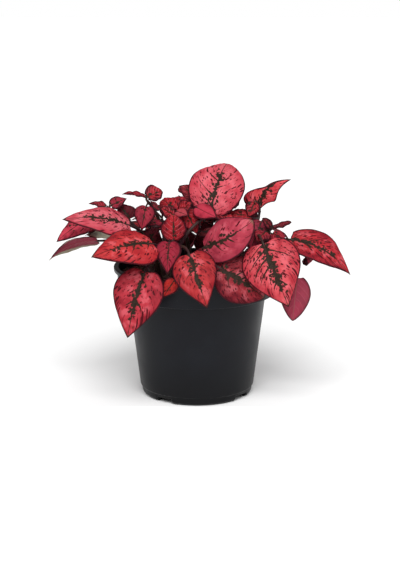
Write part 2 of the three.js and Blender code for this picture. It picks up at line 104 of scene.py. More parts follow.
def leaf(at, base, tip, width, face, look="pink", bow=0, fold=0, sway=0, skew=0, taper=POINTED, roll=0):
    """One leaf: its place on the stem (0 is the stem's foot, 1 its top), its blade's base, tip and width,
    the way its upper side faces, its look, and how it bends: bow is how high its middle rises, fold how
    steeply its halves rise beside the midrib, sway how far it bends sideways, and skew how uneven its halves
    are. A leaf with a roll isn't open yet: its tip is wound up into a scroll of that radius."""
    length = math.dist(base, tip)
    return dict(at=at, base=base, tip=tip, width=width, face=face, length=length, look=look,
                bow=bow, fold=fold, sway=sway, skew=skew, taper=taper, roll=roll)


# A stem grows from its foot in the peat to its top, and leans towards its knee on the way.
FRONT_SHOOTS = {
    "shoot_left": dict(foot=(-24, -6), knee=(-34, -6, 122), top=(-62, -6, 136), leaves=[
        leaf(0.55, (-47, -22, 127), (-93, -32, 133), 30, (0, -5, 9), "rose", bow=4.5, fold=-0.05),
        leaf(0.85, (-70, 2, 130), (-100, -7, 112), 23, (-5, -6, 5), "rose_dark", bow=3),
        leaf(1, (-65, -5, 137), (-77, -3, 140), 9, (0, -2, 8), "young", fold=0.4),
        leaf(1, (-61, -4, 138), (-50, -1, 143), 10, (-1, -7, 5), "young_pink", fold=0.2),
        leaf(0.8, (-48, -2, 128), (-56, 4, 138), 15, (0, -8, 4), "shade", bow=1),
    ]),
    "shoot_left_low": dict(foot=(-34, -2), knee=(-44, 8, 106), top=(-62, 9, 112), leaves=[
        leaf(0.95, (-72, 8, 110), (-107, 5, 96), 23, (1, 5, 9), "pale_edged", bow=5),
        leaf(0.75, (-60, 15, 114), (-81, 7, 114), 25, (0, 5, 8), "pale_back", bow=2),
        leaf(0.6, (-50, -8, 108), (-72, -17, 107), 18, (0, -3, 8), "wine", bow=3),
        leaf(0.45, (-36, 6, 106), (-28, 4, 121), 20, (0, -8, 3), "shade", bow=2),
    ]),
    "shoot_front_left": dict(foot=(-26, -22), knee=(-29, -28, 110), top=(-31, -40, 114), leaves=[
        leaf(0.95, (-30, -52, 120), (-70, -76, 116), 35, (-1, -6, 7), "scarlet", bow=4, fold=-0.1),
        leaf(0.5, (-35, -57, 102), (-47, -67, 58), 35, (-2, -9, 3), "crimson", bow=5),
        leaf(0.35, (-15, -60, 97), (-23, -62, 85), 11, (0, -9, 3), "ember"),
        leaf(0.75, (-40, -34, 112), (-66, -34, 108), 22, (0, -1, 8), "wine", bow=3),
    ]),
    "shoot_mid_left": dict(foot=(-14, -10), knee=(-22, -14, 128), top=(-35, -26, 146), leaves=[
        leaf(1, (-36, -26, 148), (-51.5, -28, 151.5), 11, (0, -1, 8), "young", fold=0.3),
        leaf(1, (-34, -26, 148), (-24, -23, 152), 14, (-2, -7, 6), "young_red", fold=0.35, taper=0.7),
        leaf(0.93, (-35, -30, 142), (-38, -38, 127), 15, (0, -8, 5), "young_pink", bow=2),
        leaf(0.8, (-25, -24, 130), (-37, -30, 129), 12, (0, -1, 8), "young_pink"),
    ]),
    "shoot_centre": dict(foot=(-8, -34), knee=(-12, -36, 112), top=(-18, -43, 119), leaves=[
        leaf(0.75, (-5, -62, 115), (7, -79, 82), 30, (-1, -8, 5), "coral", bow=4),
        leaf(1, (-16, -42, 121), (-16, -37, 138), 18, (0, -9, 2), "young_red", bow=1, taper=0.75),
        leaf(1, (-19, -46, 120), (-20, -60, 101), 17, (0, -7, 6), "veined", bow=2, fold=0.4),
    ]),
    "shoot_front_right": dict(foot=(6, -26), knee=(8, -36, 100), top=(12, -42, 108), leaves=[
        leaf(0.9, (16, -60, 105), (46, -58, 84), 33, (0, -9, 4), "wine", bow=4, taper=0.8),
        leaf(1, (5, -44, 116), (38, -56, 137), 31, (0, -8, 6), "mauve", bow=4, sway=-4, taper=0.62),
        leaf(0.95, (11, -48, 108), (31, -58, 109), 18, (0, -6, 7), "mauve"),
        leaf(0.75, (7, -27, 105), (12, -2, 106), 20, (0, -1, 8), "wine", bow=3),
    ]),
    "shoot_right": dict(foot=(22, -20), knee=(34, -26, 112), top=(52, -33, 127), leaves=[
        leaf(1, (51, -34, 128), (45.5, -36, 135), 6, (2, -7, 3), "tiny", fold=0.4, taper=0.7),
        leaf(1, (52.5, -33, 128), (65, -34, 132.5), 7, (0, -3, 8), "tiny", bow=-1.5, fold=0.4, taper=0.5),
        leaf(0.92, (47, -36, 125), (41, -45, 120), 13, (-1, -7, 6), "young", bow=1),
        leaf(0.92, (52, -36, 124), (61, -43, 120), 12, (1, -6, 7), "young", bow=1),
        leaf(0.75, (45, -56, 121), (62, -68, 80), 40, (-1, -9, 4), "speckled", bow=5),
        leaf(0.5, (69, -46, 95), (66, -52, 66), 21, (1, 8, 2), "wine", bow=-3, taper=0.85),
        leaf(0.6, (46, -25, 107), (73, -17, 100), 18, (1, 0, 8), "wine", bow=3),
        leaf(0.85, (45, -28, 131), (37, -34, 111), 18, (-1, -8, 4), "dusty", bow=2),
    ]),
    "shoot_far_right": dict(foot=(28, -2), knee=(40, -8, 116), top=(60, -20, 117), leaves=[
        leaf(0.97, (65, -27, 118), (107, -33, 94), 29, (2, -6, 8), "streaked", bow=8, fold=0.12),
        leaf(0.9, (76, -21, 107), (83, -23, 99), 8, (3, -5, 4), "dusty", bow=1.5, taper=0.6, roll=3),
    ]),
    "shoot_top": dict(foot=(-16, -22), knee=(-17, -50, 127), top=(12, -22, 137), leaves=[
        leaf(0.97, (9.5, -17, 135), (22, 22, 164), 40, (0, -5, 8), "pink", bow=9, taper=0.85),
        leaf(1, (6, 2, 142), (-13, 8, 150), 20, (0, -7, 7), "wine"),
        leaf(0.95, (-0.5, -26, 140.8), (14, -38, 135.5), 14, (0, -7, 6), "plain"),
        leaf(0.95, (13, -18, 134), (27, -19, 131), 12, (0, -4, 9), "young_red", bow=1),
    ]),
    "shoot_top_right": dict(foot=(18, 8), knee=(44, 4, 114), top=(45, 3, 134), leaves=[
        leaf(1, (45, 3, 135), (67, 0, 156), 19.5, (0, -9, 3), "flame", bow=2, sway=6.5, skew=0.8),
        leaf(0.97, (41, -3, 140), (36.5, -9, 130.5), 11, (0, -8, 4), "young_red"),
        leaf(0.85, (38, -7, 130), (21, -10, 133), 18, (0, -4, 9), "young_red", bow=1),
        leaf(0.7, (41, 4, 121), (25, 8, 131), 21, (0, -7, 5), "shade", bow=2),
        leaf(0.35, (11, 11, 104), (5, 8, 124), 24, (0, -8, 3), "shade", bow=2),
    ]),
    "shoot_heart": dict(foot=(-4, 0), knee=(-6, -8, 118), top=(-12, -24, 134), leaves=[
        leaf(1, (-13, -22, 136), (-25, -10, 144), 18, (0, -7, 6), "young_red", bow=1, taper=0.8),
        leaf(1, (-11, -25, 137), (-4, -28, 144.5), 13, (0, -6, 7), "young_red", fold=0.3, taper=0.8),
        leaf(1, (-14, -29, 138.5), (-6, -39, 137.5), 10, (0, -7, 6), "salmon"),
        leaf(0.95, (-8, -25, 138), (0.5, -30, 122.5), 15, (1, -8, 4), "young_red", bow=1, fold=0.3),
        leaf(1, (-16, -29, 136), (-25, -31, 141.5), 12, (0, -6, 7), "young_red"),
        leaf(1, (-12, -20, 138), (-12, -7, 146), 15, (0, -6, 7), "young", taper=0.8),
        leaf(0.7, (4, -8, 120), (20, -20, 118), 17, (0, -3, 8), "wine", bow=2),
        leaf(0.35, (-10, 6, 106), (-16, 4, 121), 22, (0, -8, 3), "shade", bow=2),
    ]),
}

# The shoots at the back grow by a rule. A leaf is given by how far it stands round the pot from its stem, in
# degrees, and by how far out and up its base and its tip are from the shoot's reach and rise.
BACK_LEAVES = {
    "hanging": dict(at=0.45, away=0, base=(2, -8), tip=(30, -42), width=29, bow=6, look="crimson"),
    "spread": dict(at=0.7, away=-15, base=(-6, 0), tip=(28, -8), width=25, bow=5, look="pink"),
    "upper": dict(at=0.9, away=10, base=(-12, 8), tip=(12, 9), width=20, bow=3, look="coral"),
    "inner": dict(at=0.95, away=-10, base=(-22, 10), tip=(-34, 20), width=13, bow=1, look="young"),
    "bud": dict(at=1, away=3, base=(-10, 16), tip=(-2, 22), width=7, bow=0, look="tiny"),
    "shade": dict(at=0.92, away=4, base=(-12, 2), tip=(18, -1), width=19, bow=3, look="wine"),
}
SIDE_SET = ["spread", "upper", "inner"]
FULL_SET = ["hanging", *SIDE_SET, "bud"]

# Where a shoot stands round the pot, in degrees, how far out and how high it grows, and its leaves.
BACK_SHOOTS = {
    "shoot_back_far_right": dict(turn=19, reach=46, rise=109, seed=11, grows=SIDE_SET),
    "shoot_back_right": dict(turn=44, reach=48, rise=114, seed=5, grows=FULL_SET),
    "shoot_back_mid_right": dict(turn=74, reach=53, rise=112, seed=3, grows=FULL_SET),
    "shoot_back_mid_left": dict(turn=104, reach=48, rise=115, seed=21, grows=FULL_SET),
    "shoot_back_left": dict(turn=133, reach=48, rise=112, seed=8, grows=FULL_SET),
    "shoot_back_far_left": dict(turn=163, reach=46, rise=112, seed=17, grows=SIDE_SET),
    "shoot_back_inner": dict(turn=88, reach=40, rise=134, seed=13, grows=["shade", "upper"]),
}
BACK_FOOT_REACH = 30  # how far from the pot's axis a stem's foot is, at most
BACK_FOOT_SHARE = 0.75  # and that is at most this share of the shoot's reach
BACK_KNEE_SHARE = 0.35  # how far out the knee is, from the foot to the shoot's reach
BACK_KNEE_DROP = 4  # how far the knee is under the shoot's rise
BACK_TOP_OFFSET = 10  # how far the stem's top is inside the shoot's reach, and over its rise
BACK_JITTER = 2


def dice(seed):
    """A repeatable run of numbers from 0 to 1."""
    state = seed * 7919
    while True:
        state = (state * 16807) % 2147483647
        yield state / 2147483647


def back_shoot(turn, reach, rise, seed, grows):
    """A shoot of the back, with the leaves that grow on it."""
    roll = dice(seed)

    def jitter():
        return (next(roll) * 2 - 1) * BACK_JITTER

    def place(degrees, radius, height):
        angle = math.radians(turn + degrees)
        return (radius * math.cos(angle), radius * math.sin(angle), height)

    foot_reach = min(BACK_FOOT_REACH, reach * BACK_FOOT_SHARE)
    leaves = []
    for kind in grows:
        rule = BACK_LEAVES[kind]
        away, base, tip = rule["away"], rule["base"], rule["tip"]
        base_reach = reach + base[0] + jitter()
        start = place(away * 0.8, base_reach, rise + base[1] + jitter())
        tip_turn = away + jitter()
        tip_reach = reach + tip[0] + jitter()
        end = place(tip_turn, tip_reach, rise + tip[1] + jitter())
        outward = 0.3 + max(0, (base[1] - tip[1]) / 20)
        face = place(away, outward, 1)
        width = rule["width"] + jitter()
        fold = jitter() * 0.1
        leaves.append(leaf(rule["at"], start, end, width, face, rule["look"], bow=rule["bow"], fold=fold))
    foot = place(0, foot_reach, 0)[:2]
    knee = place(0, foot_reach + (reach - foot_reach) * BACK_KNEE_SHARE, rise - BACK_KNEE_DROP)
    top = place(0, reach - BACK_TOP_OFFSET, rise + BACK_TOP_OFFSET)
    return dict(foot=foot, knee=knee, top=top, leaves=leaves)


SHOOTS = dict(FRONT_SHOOTS)
SHOOTS.update({name: back_shoot(**rule) for name, rule in BACK_SHOOTS.items()})


# ---- Mesh helpers ----

def unit(v):
    return v / np.linalg.norm(v)


def share_of(value, full):
    """How much of the full value there is, from 0 to 1."""
    return np.clip(value / full, 0, 1)


def hump(x, width):
    """1 where x is 0, falling off smoothly over the width on each side."""
    return np.exp(-(x / width) ** 2)


class Builder:
    """Gathers vertices, faces and values at the vertices, and makes one mesh object of them."""

    def __init__(self):
        self.points, self.faces, self.slots, self.values = [], [], [], {}
        self.count = 0

    def add(self, points, faces, slot=0, **values):
        points = np.asarray(points, float)
        self.points.append(points)
        self.faces.extend([tuple(int(i) + self.count for i in face) for face in faces])
        slots = slot if isinstance(slot, (list, np.ndarray)) else [slot] * len(faces)
        self.slots.extend(slots)
        for key, value in values.items():
            block = np.broadcast_to(np.asarray(value, float), (len(points), 3))
            self.values.setdefault(key, []).append(block)
        self.count += len(points)

    def object(self, name, materials, smooth=True):
        mesh = bpy.data.meshes.new(name)
        mesh.from_pydata((np.concatenate(self.points) * MM).tolist(), [], self.faces)
        for material in materials:
            mesh.materials.append(material)
        mesh.polygons.foreach_set("material_index", np.array(self.slots, dtype=np.int32))
        mesh.polygons.foreach_set("use_smooth", [smooth] * len(mesh.polygons))
        for key, blocks in self.values.items():
            attribute = mesh.attributes.new(key, "FLOAT_VECTOR", "POINT")
            attribute.data.foreach_set("vector", np.concatenate(blocks).ravel())
        mesh.update()
        made = bpy.data.objects.new(name, mesh)
        bpy.context.scene.collection.objects.link(made)
        return made


def bezier(a, b, c, steps):
    """Points of a curve from a to c that leans towards b."""
    t = np.linspace(0, 1, steps + 1)[:, None]
    return (1 - t) ** 2 * np.array(a) + 2 * t * (1 - t) * np.array(b) + t ** 2 * np.array(c)


def rod(path, radii, sides):
    """Points and faces of a round closed rod along a path."""
    path = np.asarray(path, float)
    ways = np.gradient(path, axis=0)
    ways /= np.linalg.norm(ways, axis=1)[:, None]
    across = np.array([1.0, 0, 0]) if abs(ways[0][2]) > 0.7 else np.array([0, 0, 1.0])
    turns = np.arange(sides) * 2 * math.pi / sides
    points = []
    for centre, way, radius in zip(path, ways, radii):
        across = unit(across - way * across.dot(way))
        third = np.cross(way, across)
        ring = np.cos(turns)[:, None] * across + np.sin(turns)[:, None] * third
        points.extend(centre + radius * ring)
    faces = []
    for i in range(len(path) - 1):
        for k in range(sides):
            a, b = i * sides + k, i * sides + (k + 1) % sides
            faces.append((a, b, b + sides, a + sides))
    faces.append(tuple(range(sides))[::-1])
    last = (len(path) - 1) * sides
    faces.append(tuple(range(last, last + sides)))
    return points, faces


# ---- Leaf blades ----

BLADE_THICKNESS = 0.42
EDGE_THICKNESS = 0.16
BLADE_END = 0.0006  # how far a blade's mesh stops short of its pointed ends, by its length
BLADE_SKEW_LOSS = 0.7  # how much a skew blade's other half is narrowed, by its skew
QUILT = 0.016  # how far a grown blade swells between its side veins, by its width
YOUNG_QUILT = 0.04  # how much more a fully crinkled one does
VEIN_WIDTH = 0.17  # by the distance between side veins
GROOVE_DEPTH = 0.28  # of the midrib, on the upper side
GROOVE_WIDTH = 0.6
RIDGE_HEIGHT = 0.55  # of the midrib, on the underside
RIDGE_WIDTH = 0.55
WAVE = 0.5  # height of the waves along the edge
RIPPLE = 0.12  # height of the fine waves along the edge
EDGE_CURL = 0.9  # how far the edge rolls down
TIP_CURL = 0.1  # how far the tip of a crinkled leaf rolls down, by its length
PUCKER = 0.5  # height of a fully crinkled blade's creases
SCROLL_START = 0.25  # where the wound up tip of an unopened leaf begins, by its length
SCROLL_TURNS = 1.4  # how far that tip is wound up


def outline(s, taper):
    """Half of the blade's outline, as a share of its half width, from base (0) to tip (1)."""
    widest = 0.5 / (0.5 + taper)
    return np.sqrt(s) * (1 - s) ** taper / (math.sqrt(widest) * (1 - widest) ** taper)


def blade_surface(one, s, v):
    """The middle of a blade at s along it and v across it, and its local half width."""
    base, tip = np.array(one["base"], float), np.array(one["tip"], float)
    along = unit(tip - base)
    face = np.array(one["face"], float)
    up = unit(face - along * face.dot(along))
    side = np.cross(up, along)
    # How uneven the halves are at s, and how the blade arches, bends sideways, waves and curls there.
    lean = np.cos(np.pi * np.minimum(1, 2 * s))
    skew = one["skew"]
    uneven = np.where(v > 0, 1 + skew * lean, 1 - BLADE_SKEW_LOSS * skew * np.maximum(0, lean))
    half = one["width"] / 2 * outline(s, one["taper"]) * uneven
    arch = 4 * s * (1 - s)
    bend = np.arctan(4 * one["sway"] * (1 - 2 * s) / one["length"])
    crinkle = LOOKS[one["look"]]["crinkle"]
    edge_wave = WAVE * share_of(one["width"], 24) * np.sin(11 * s + 2 * v) * v * v
    curl = TIP_CURL * crinkle * one["length"] * share_of(s - 0.6, 0.4) ** 2
    rise = half * one["fold"] * np.abs(v) ** 1.4 + one["bow"] * arch + edge_wave - curl
    across = half * v * np.cos(bend) + one["sway"] * arch
    lobe = BLADE_LOBE * one["width"] * v * v * (1 - s) ** 5 * share_of(s, 0.03)
    reach = one["length"] * s - lobe - half * v * np.sin(bend)
    if one["roll"]:
        half, reach, rise = scroll(one, s)
        across = half * v
    points = base + reach[..., None] * along + across[..., None] * side + rise[..., None] * up
    return points, half


def scroll(one, s):
    """The half width, reach and rise of a leaf whose tip is still wound up."""
    straight = one["length"] - 2 * one["roll"]
    share = share_of(s - SCROLL_START, 1 - SCROLL_START)
    turn = 2 * np.pi * SCROLL_TURNS * share
    radius = one["roll"] * (1 - 0.45 * share)
    reach = straight * share_of(s, SCROLL_START) + radius * np.sin(turn)
    rise = radius * np.cos(turn) - one["roll"]
    half = one["width"] / 2 * share_of(s, 0.3) ** 0.6 * (1 - 0.35 * share)
    return half, reach, rise


def vein_count(one):
    """How many side veins a blade has on each side."""
    return 8 if one["length"] >= LONG_LEAF else 6


def side_vein_phase(one, s, v):
    """Counts the side veins from base to tip: they leave the midrib forwards and bend towards the tip."""
    lean = np.where(v > 0, 0.21, 0.18)
    return (s - lean * np.abs(v) - 0.17 * v * v) * vein_count(one) + one["width"] * 0.37


def blade_grid(one):
    """How many rows of faces a blade has along it, and how many columns across."""
    if one["length"] < SHORT_LEAF:
        return 18, 12
    return (46, 34) if one["length"] >= LONG_LEAF else (28, 20)


def grid_normal(points):
    """Which way a grid's points face. The two rows at each end are nearly closed, and face as the third."""
    normal = np.cross(np.gradient(points, axis=0), np.gradient(points, axis=1))
    normal /= np.linalg.norm(normal, axis=2)[..., None] + 1e-12
    normal[0], normal[-1] = normal[2], normal[-3]
    normal[1], normal[-2] = normal[2], normal[-3]
    return normal


def blade_relief(one, s, v, half, phase, seed):
    """How far a blade swells between its side veins, curls down at its edge, ripples and puckers."""
    crinkle = LOOKS[one["look"]]["crinkle"]
    vein = hump(np.abs(phase % 1 - 0.5), VEIN_WIDTH)
    inner = (1 - v ** 6) * share_of(half, 3)
    quilt = (QUILT + YOUNG_QUILT * crinkle) * one["width"]
    swell = quilt * (1 - vein) * inner * (1 - hump(half * v, 1.2))
    curl = EDGE_CURL * np.abs(v) ** 7 * share_of(half, 8)
    ripple = RIPPLE * np.sin(s * 34 + seed * 5) * np.abs(v) ** 4 * share_of(half, 8)
    pucker = crinkle * PUCKER * np.sin(s * 17 + v * 5 + seed * 3) * share_of(half, 4)
    return swell - curl + ripple + pucker


def blade_faces(rows, columns):
    """Faces of a closed blade, its upper side, its underside and the rim between, and their materials."""
    n, m = rows + 1, columns + 1
    index = np.arange(n * m).reshape(n, m)
    a, b = index[:-1, :-1].ravel(), index[1:, :-1].ravel()
    c, d = index[1:, 1:].ravel(), index[:-1, 1:].ravel()
    top = np.stack([a, b, c, d], 1)
    under = np.stack([a, d, c, b], 1) + n * m
    rim = np.concatenate([index[:, 0], index[-1, 1:], index[-2::-1, -1], index[0, -2:0:-1]])
    after = np.roll(rim, -1)
    wall = np.stack([after, rim, rim + n * m, after + n * m], 1)
    slots = [0] * len(top) + [1] * len(under) + [0] * len(wall)
    return np.concatenate([top, under, wall]), slots


def add_blade(build, one, seed):
    rows, columns = blade_grid(one)
    s_line = (1 - np.cos(np.pi * np.linspace(0, 1, rows + 1))) / 2
    s_line[0], s_line[-1] = BLADE_END, 1 - BLADE_END
    s, v = np.meshgrid(s_line, np.linspace(-1, 1, columns + 1), indexing="ij")
    middle, half = blade_surface(one, s, v)
    normal = grid_normal(middle)
    phase = side_vein_phase(one, s, v)
    across = half * v
    relief = blade_relief(one, s, v, half, phase, seed)
    groove = GROOVE_DEPTH * hump(across, GROOVE_WIDTH) * (1 - s) ** 0.5
    ridge = RIDGE_HEIGHT * hump(across, RIDGE_WIDTH) * (1 - s) ** 0.7
    thick = EDGE_THICKNESS + (BLADE_THICKNESS - EDGE_THICKNESS) * (1 - np.abs(v) ** 6)
    thick = thick * np.clip(half / 1.5, 0.35, 1)
    upper = middle + normal * (thick / 2 + relief - groove)[..., None]
    lower = middle + normal * (-thick / 2 + relief - ridge)[..., None]

    points = np.concatenate([upper.reshape(-1, 3), lower.reshape(-1, 3)])
    faces, slots = blade_faces(rows, columns)
    finish = LOOKS[one["look"]]
    place = np.stack([s * one["length"], across, half], 2).reshape(-1, 3)
    veins = np.stack([phase, s, np.abs(v)], 2).reshape(-1, 3)
    build.add(points, faces, slots,
              leaf_place=np.tile(place, (2, 1)),
              leaf_veins=np.tile(veins, (2, 1)),
              leaf_marks=(finish["rib"], finish["freckles"], finish["net"]),
              leaf_kind=(seed * 7.3, one["length"] / vein_count(one), finish["pale"]),
              leaf_ground=finish["ground"],
              leaf_edge=finish["edge"])


# ---- Stems ----

STEM_SIDES = 12
STEM_STEPS = 30
STEM_RISE = 2  # height over the peat at which a stem begins to curve
STEM_DEPTH = 9  # how deep a stem goes down into the peat
NODE_SWELLING = 0.22  # how much thicker a stem is where a leaf grows from it
NODE_LENGTH = 0.03  # how far that swelling reaches, by the stem's length
PETIOLE_SIDES = 10
PETIOLE_STEPS = 12
PETIOLE_TAPER = (1.15, 0.9)  # its radius at the stem and at the blade, by its usual radius
PETIOLE_BEND = 0.45  # how far behind the blade's base its bend lies, by its length
PETIOLE_UNDER_BLADE = 0.09  # how far it runs on under the blade, by the blade's length
SMALL_PETIOLE = 0.75  # how thick it is on a leaf that isn't long
BUD_SIDES = 8
BUD_LENGTH = 3.2
BUD_PROFILE = [(0.1, 0.5), (0.3, 0.8), (0.55, 0.75), (0.8, 0.45), (1, 0.1)]  # places along it, radii there


def stem_line(shoot):
    """The line of a stem over the peat."""
    foot = (*shoot["foot"], SOIL_TOP + STEM_RISE)
    return bezier(foot, shoot["knee"], shoot["top"], STEM_STEPS)


def add_stem(build, shoot, line):
    buried = np.array([*shoot["foot"], SOIL_TOP - STEM_DEPTH], float)
    path = np.vstack([buried, line])
    u = np.clip(np.linspace(-1 / STEM_STEPS, 1, len(path)), 0, 1)
    radii = STEM_FOOT_RADIUS + (STEM_TOP_RADIUS - STEM_FOOT_RADIUS) * u
    for one in shoot["leaves"]:
        radii = radii * (1 + NODE_SWELLING * hump(u - one["at"], NODE_LENGTH))
    radii[-1] *= 0.6
    points, faces = rod(path, radii, STEM_SIDES)
    build.add(points, faces)


def add_petiole(build, one, line):
    """A leaf's stalk, from its stem to under its blade, and the bud in the corner between stalk and stem."""
    start = line[round(one["at"] * (len(line) - 1))]
    (base, ahead), _half = blade_surface(one, np.array([0.0, PETIOLE_UNDER_BLADE]), np.zeros(2))
    face = np.array(one["face"], float)
    reach = np.linalg.norm(base - start) * PETIOLE_BEND
    bend = base - unit(ahead - base) * reach
    path = np.vstack([bezier(start, bend, base, PETIOLE_STEPS), ahead - unit(face) * 0.25])
    size = 1 if one["length"] >= LONG_LEAF else SMALL_PETIOLE
    radii = PETIOLE_RADIUS * size * np.linspace(*PETIOLE_TAPER, len(path))
    radii[-1] *= 0.4
    points, faces = rod(path, radii, PETIOLE_SIDES)
    build.add(points, faces)
    way = unit(path[2] - path[0])
    bud = [start + way * BUD_LENGTH * t + np.array([0, 0, 0.5 + t]) for t, _radius in BUD_PROFILE]
    points, faces = rod(bud, [radius * size for _t, radius in BUD_PROFILE], BUD_SIDES)
    build.add(points, faces)


# ---- Materials ----

class Graph:
    """Lays shader nodes in a tree, one call a node. A value may be a socket or a plain number."""

    def __init__(self, tree):
        self.tree = tree

    def node(self, kind, inputs=None, **settings):
        made = self.tree.nodes.new(kind)
        for key, value in settings.items():
            setattr(made, key, value)
        for key, value in (inputs or {}).items():
            self.put(value, made.inputs[key])
        return made

    def put(self, value, socket):
        if isinstance(value, bpy.types.NodeSocket):
            self.tree.links.new(value, socket)
        else:
            socket.default_value = value

    def math(self, operation, a, b=0.0, c=0.0, clamp=False):
        made = self.node("ShaderNodeMath", operation=operation, use_clamp=clamp)
        for value, socket in zip((a, b, c), made.inputs):
            self.put(value, socket)
        return made.outputs[0]

    def add(self, a, b):
        return self.math("ADD", a, b)

    def times(self, a, b):
        return self.math("MULTIPLY", a, b)

    def band(self, value, low, high, start=0.0, end=1.0):
        """start below low, end above high, and a smooth step between."""
        made = self.node("ShaderNodeMapRange",
                         {"Value": value, "From Min": low, "From Max": high, "To Min": start, "To Max": end},
                         interpolation_type="SMOOTHSTEP")
        return made.outputs[0]

    def mix(self, factor, a, b):
        """The colour a where the factor is 0, b where it is 1."""
        made = self.node("ShaderNodeMix", data_type="RGBA")
        for entry, socket in zip((factor, a, b), (made.inputs[0], made.inputs[6], made.inputs[7])):
            self.put(entry, socket)
        return made.outputs[2]

    def noise(self, vector, scale, detail=2.0, roughness=0.5):
        made = self.node("ShaderNodeTexNoise", {"Vector": vector, "Scale": scale, "Detail": detail,
                                                "Roughness": roughness})
        return made.outputs["Fac"]

    def split(self, vector):
        return self.node("ShaderNodeSeparateXYZ", {"Vector": vector}).outputs

    def join(self, x, y, z):
        return self.node("ShaderNodeCombineXYZ", {"X": x, "Y": y, "Z": z}).outputs[0]

    def attribute(self, name):
        return self.node("ShaderNodeAttribute", attribute_name=name).outputs["Vector"]

    def warp(self, vector, scale, amount):
        """The vector, shifted by noise by up to half the amount each way."""
        made = self.node("ShaderNodeTexNoise", {"Vector": vector, "Scale": scale, "Detail": 2.0})
        shift = self.node("ShaderNodeVectorMath", operation="MULTIPLY_ADD")
        self.put(made.outputs["Color"], shift.inputs[0])
        shift.inputs[1].default_value = (amount, amount, 0.0)
        shift.inputs[2].default_value = (-amount / 2, -amount / 2, 0.0)
        total = self.node("ShaderNodeVectorMath", {0: vector, 1: shift.outputs[0]}, operation="ADD")
        return total.outputs[0]

    def scaled(self, vector, factor):
        return self.node("ShaderNodeVectorMath", {0: vector, "Scale": factor}, operation="SCALE").outputs[0]

    def cells(self, vector, scale):
        """The distance to the nearest cell's middle, by the cells' size, and two random numbers of it."""
        made = self.node("ShaderNodeTexVoronoi", {"Vector": vector, "Scale": scale, "Randomness": 1.0})
        chance, size, _third = self.split(made.outputs["Color"])
        return made.outputs["Distance"], chance, size

    def chance(self, vector):
        return self.node("ShaderNodeTexWhiteNoise", {"Vector": vector}).outputs["Value"]


def new_group(name, vectors, numbers):
    """A shader node group that takes vectors and gives numbers, with its graph, its inputs and outputs."""
    group = bpy.data.node_groups.new(name, "ShaderNodeTree")
    for label in vectors:
        group.interface.new_socket(name=label, in_out="INPUT", socket_type="NodeSocketVector")
    for label in numbers:
        group.interface.new_socket(name=label, in_out="OUTPUT", socket_type="NodeSocketFloat")
    entry = group.nodes.new("NodeGroupInput")
    leave = group.nodes.new("NodeGroupOutput")
    return group, Graph(group), entry.outputs, leave.inputs


def leaf_spots(g, vector, amount, scale, smallest, edge):
    """Round spots in some of the cells of a pattern: the greater the amount, the more cells have one."""
    distance, chance, size = g.cells(vector, scale)
    keep = g.band(g.math("SUBTRACT", amount, chance), 0.0, 0.04)
    radius = g.band(size, 0.0, 1.0, smallest, 0.44)
    return g.times(g.band(g.math("SUBTRACT", radius, distance), *edge), keep)


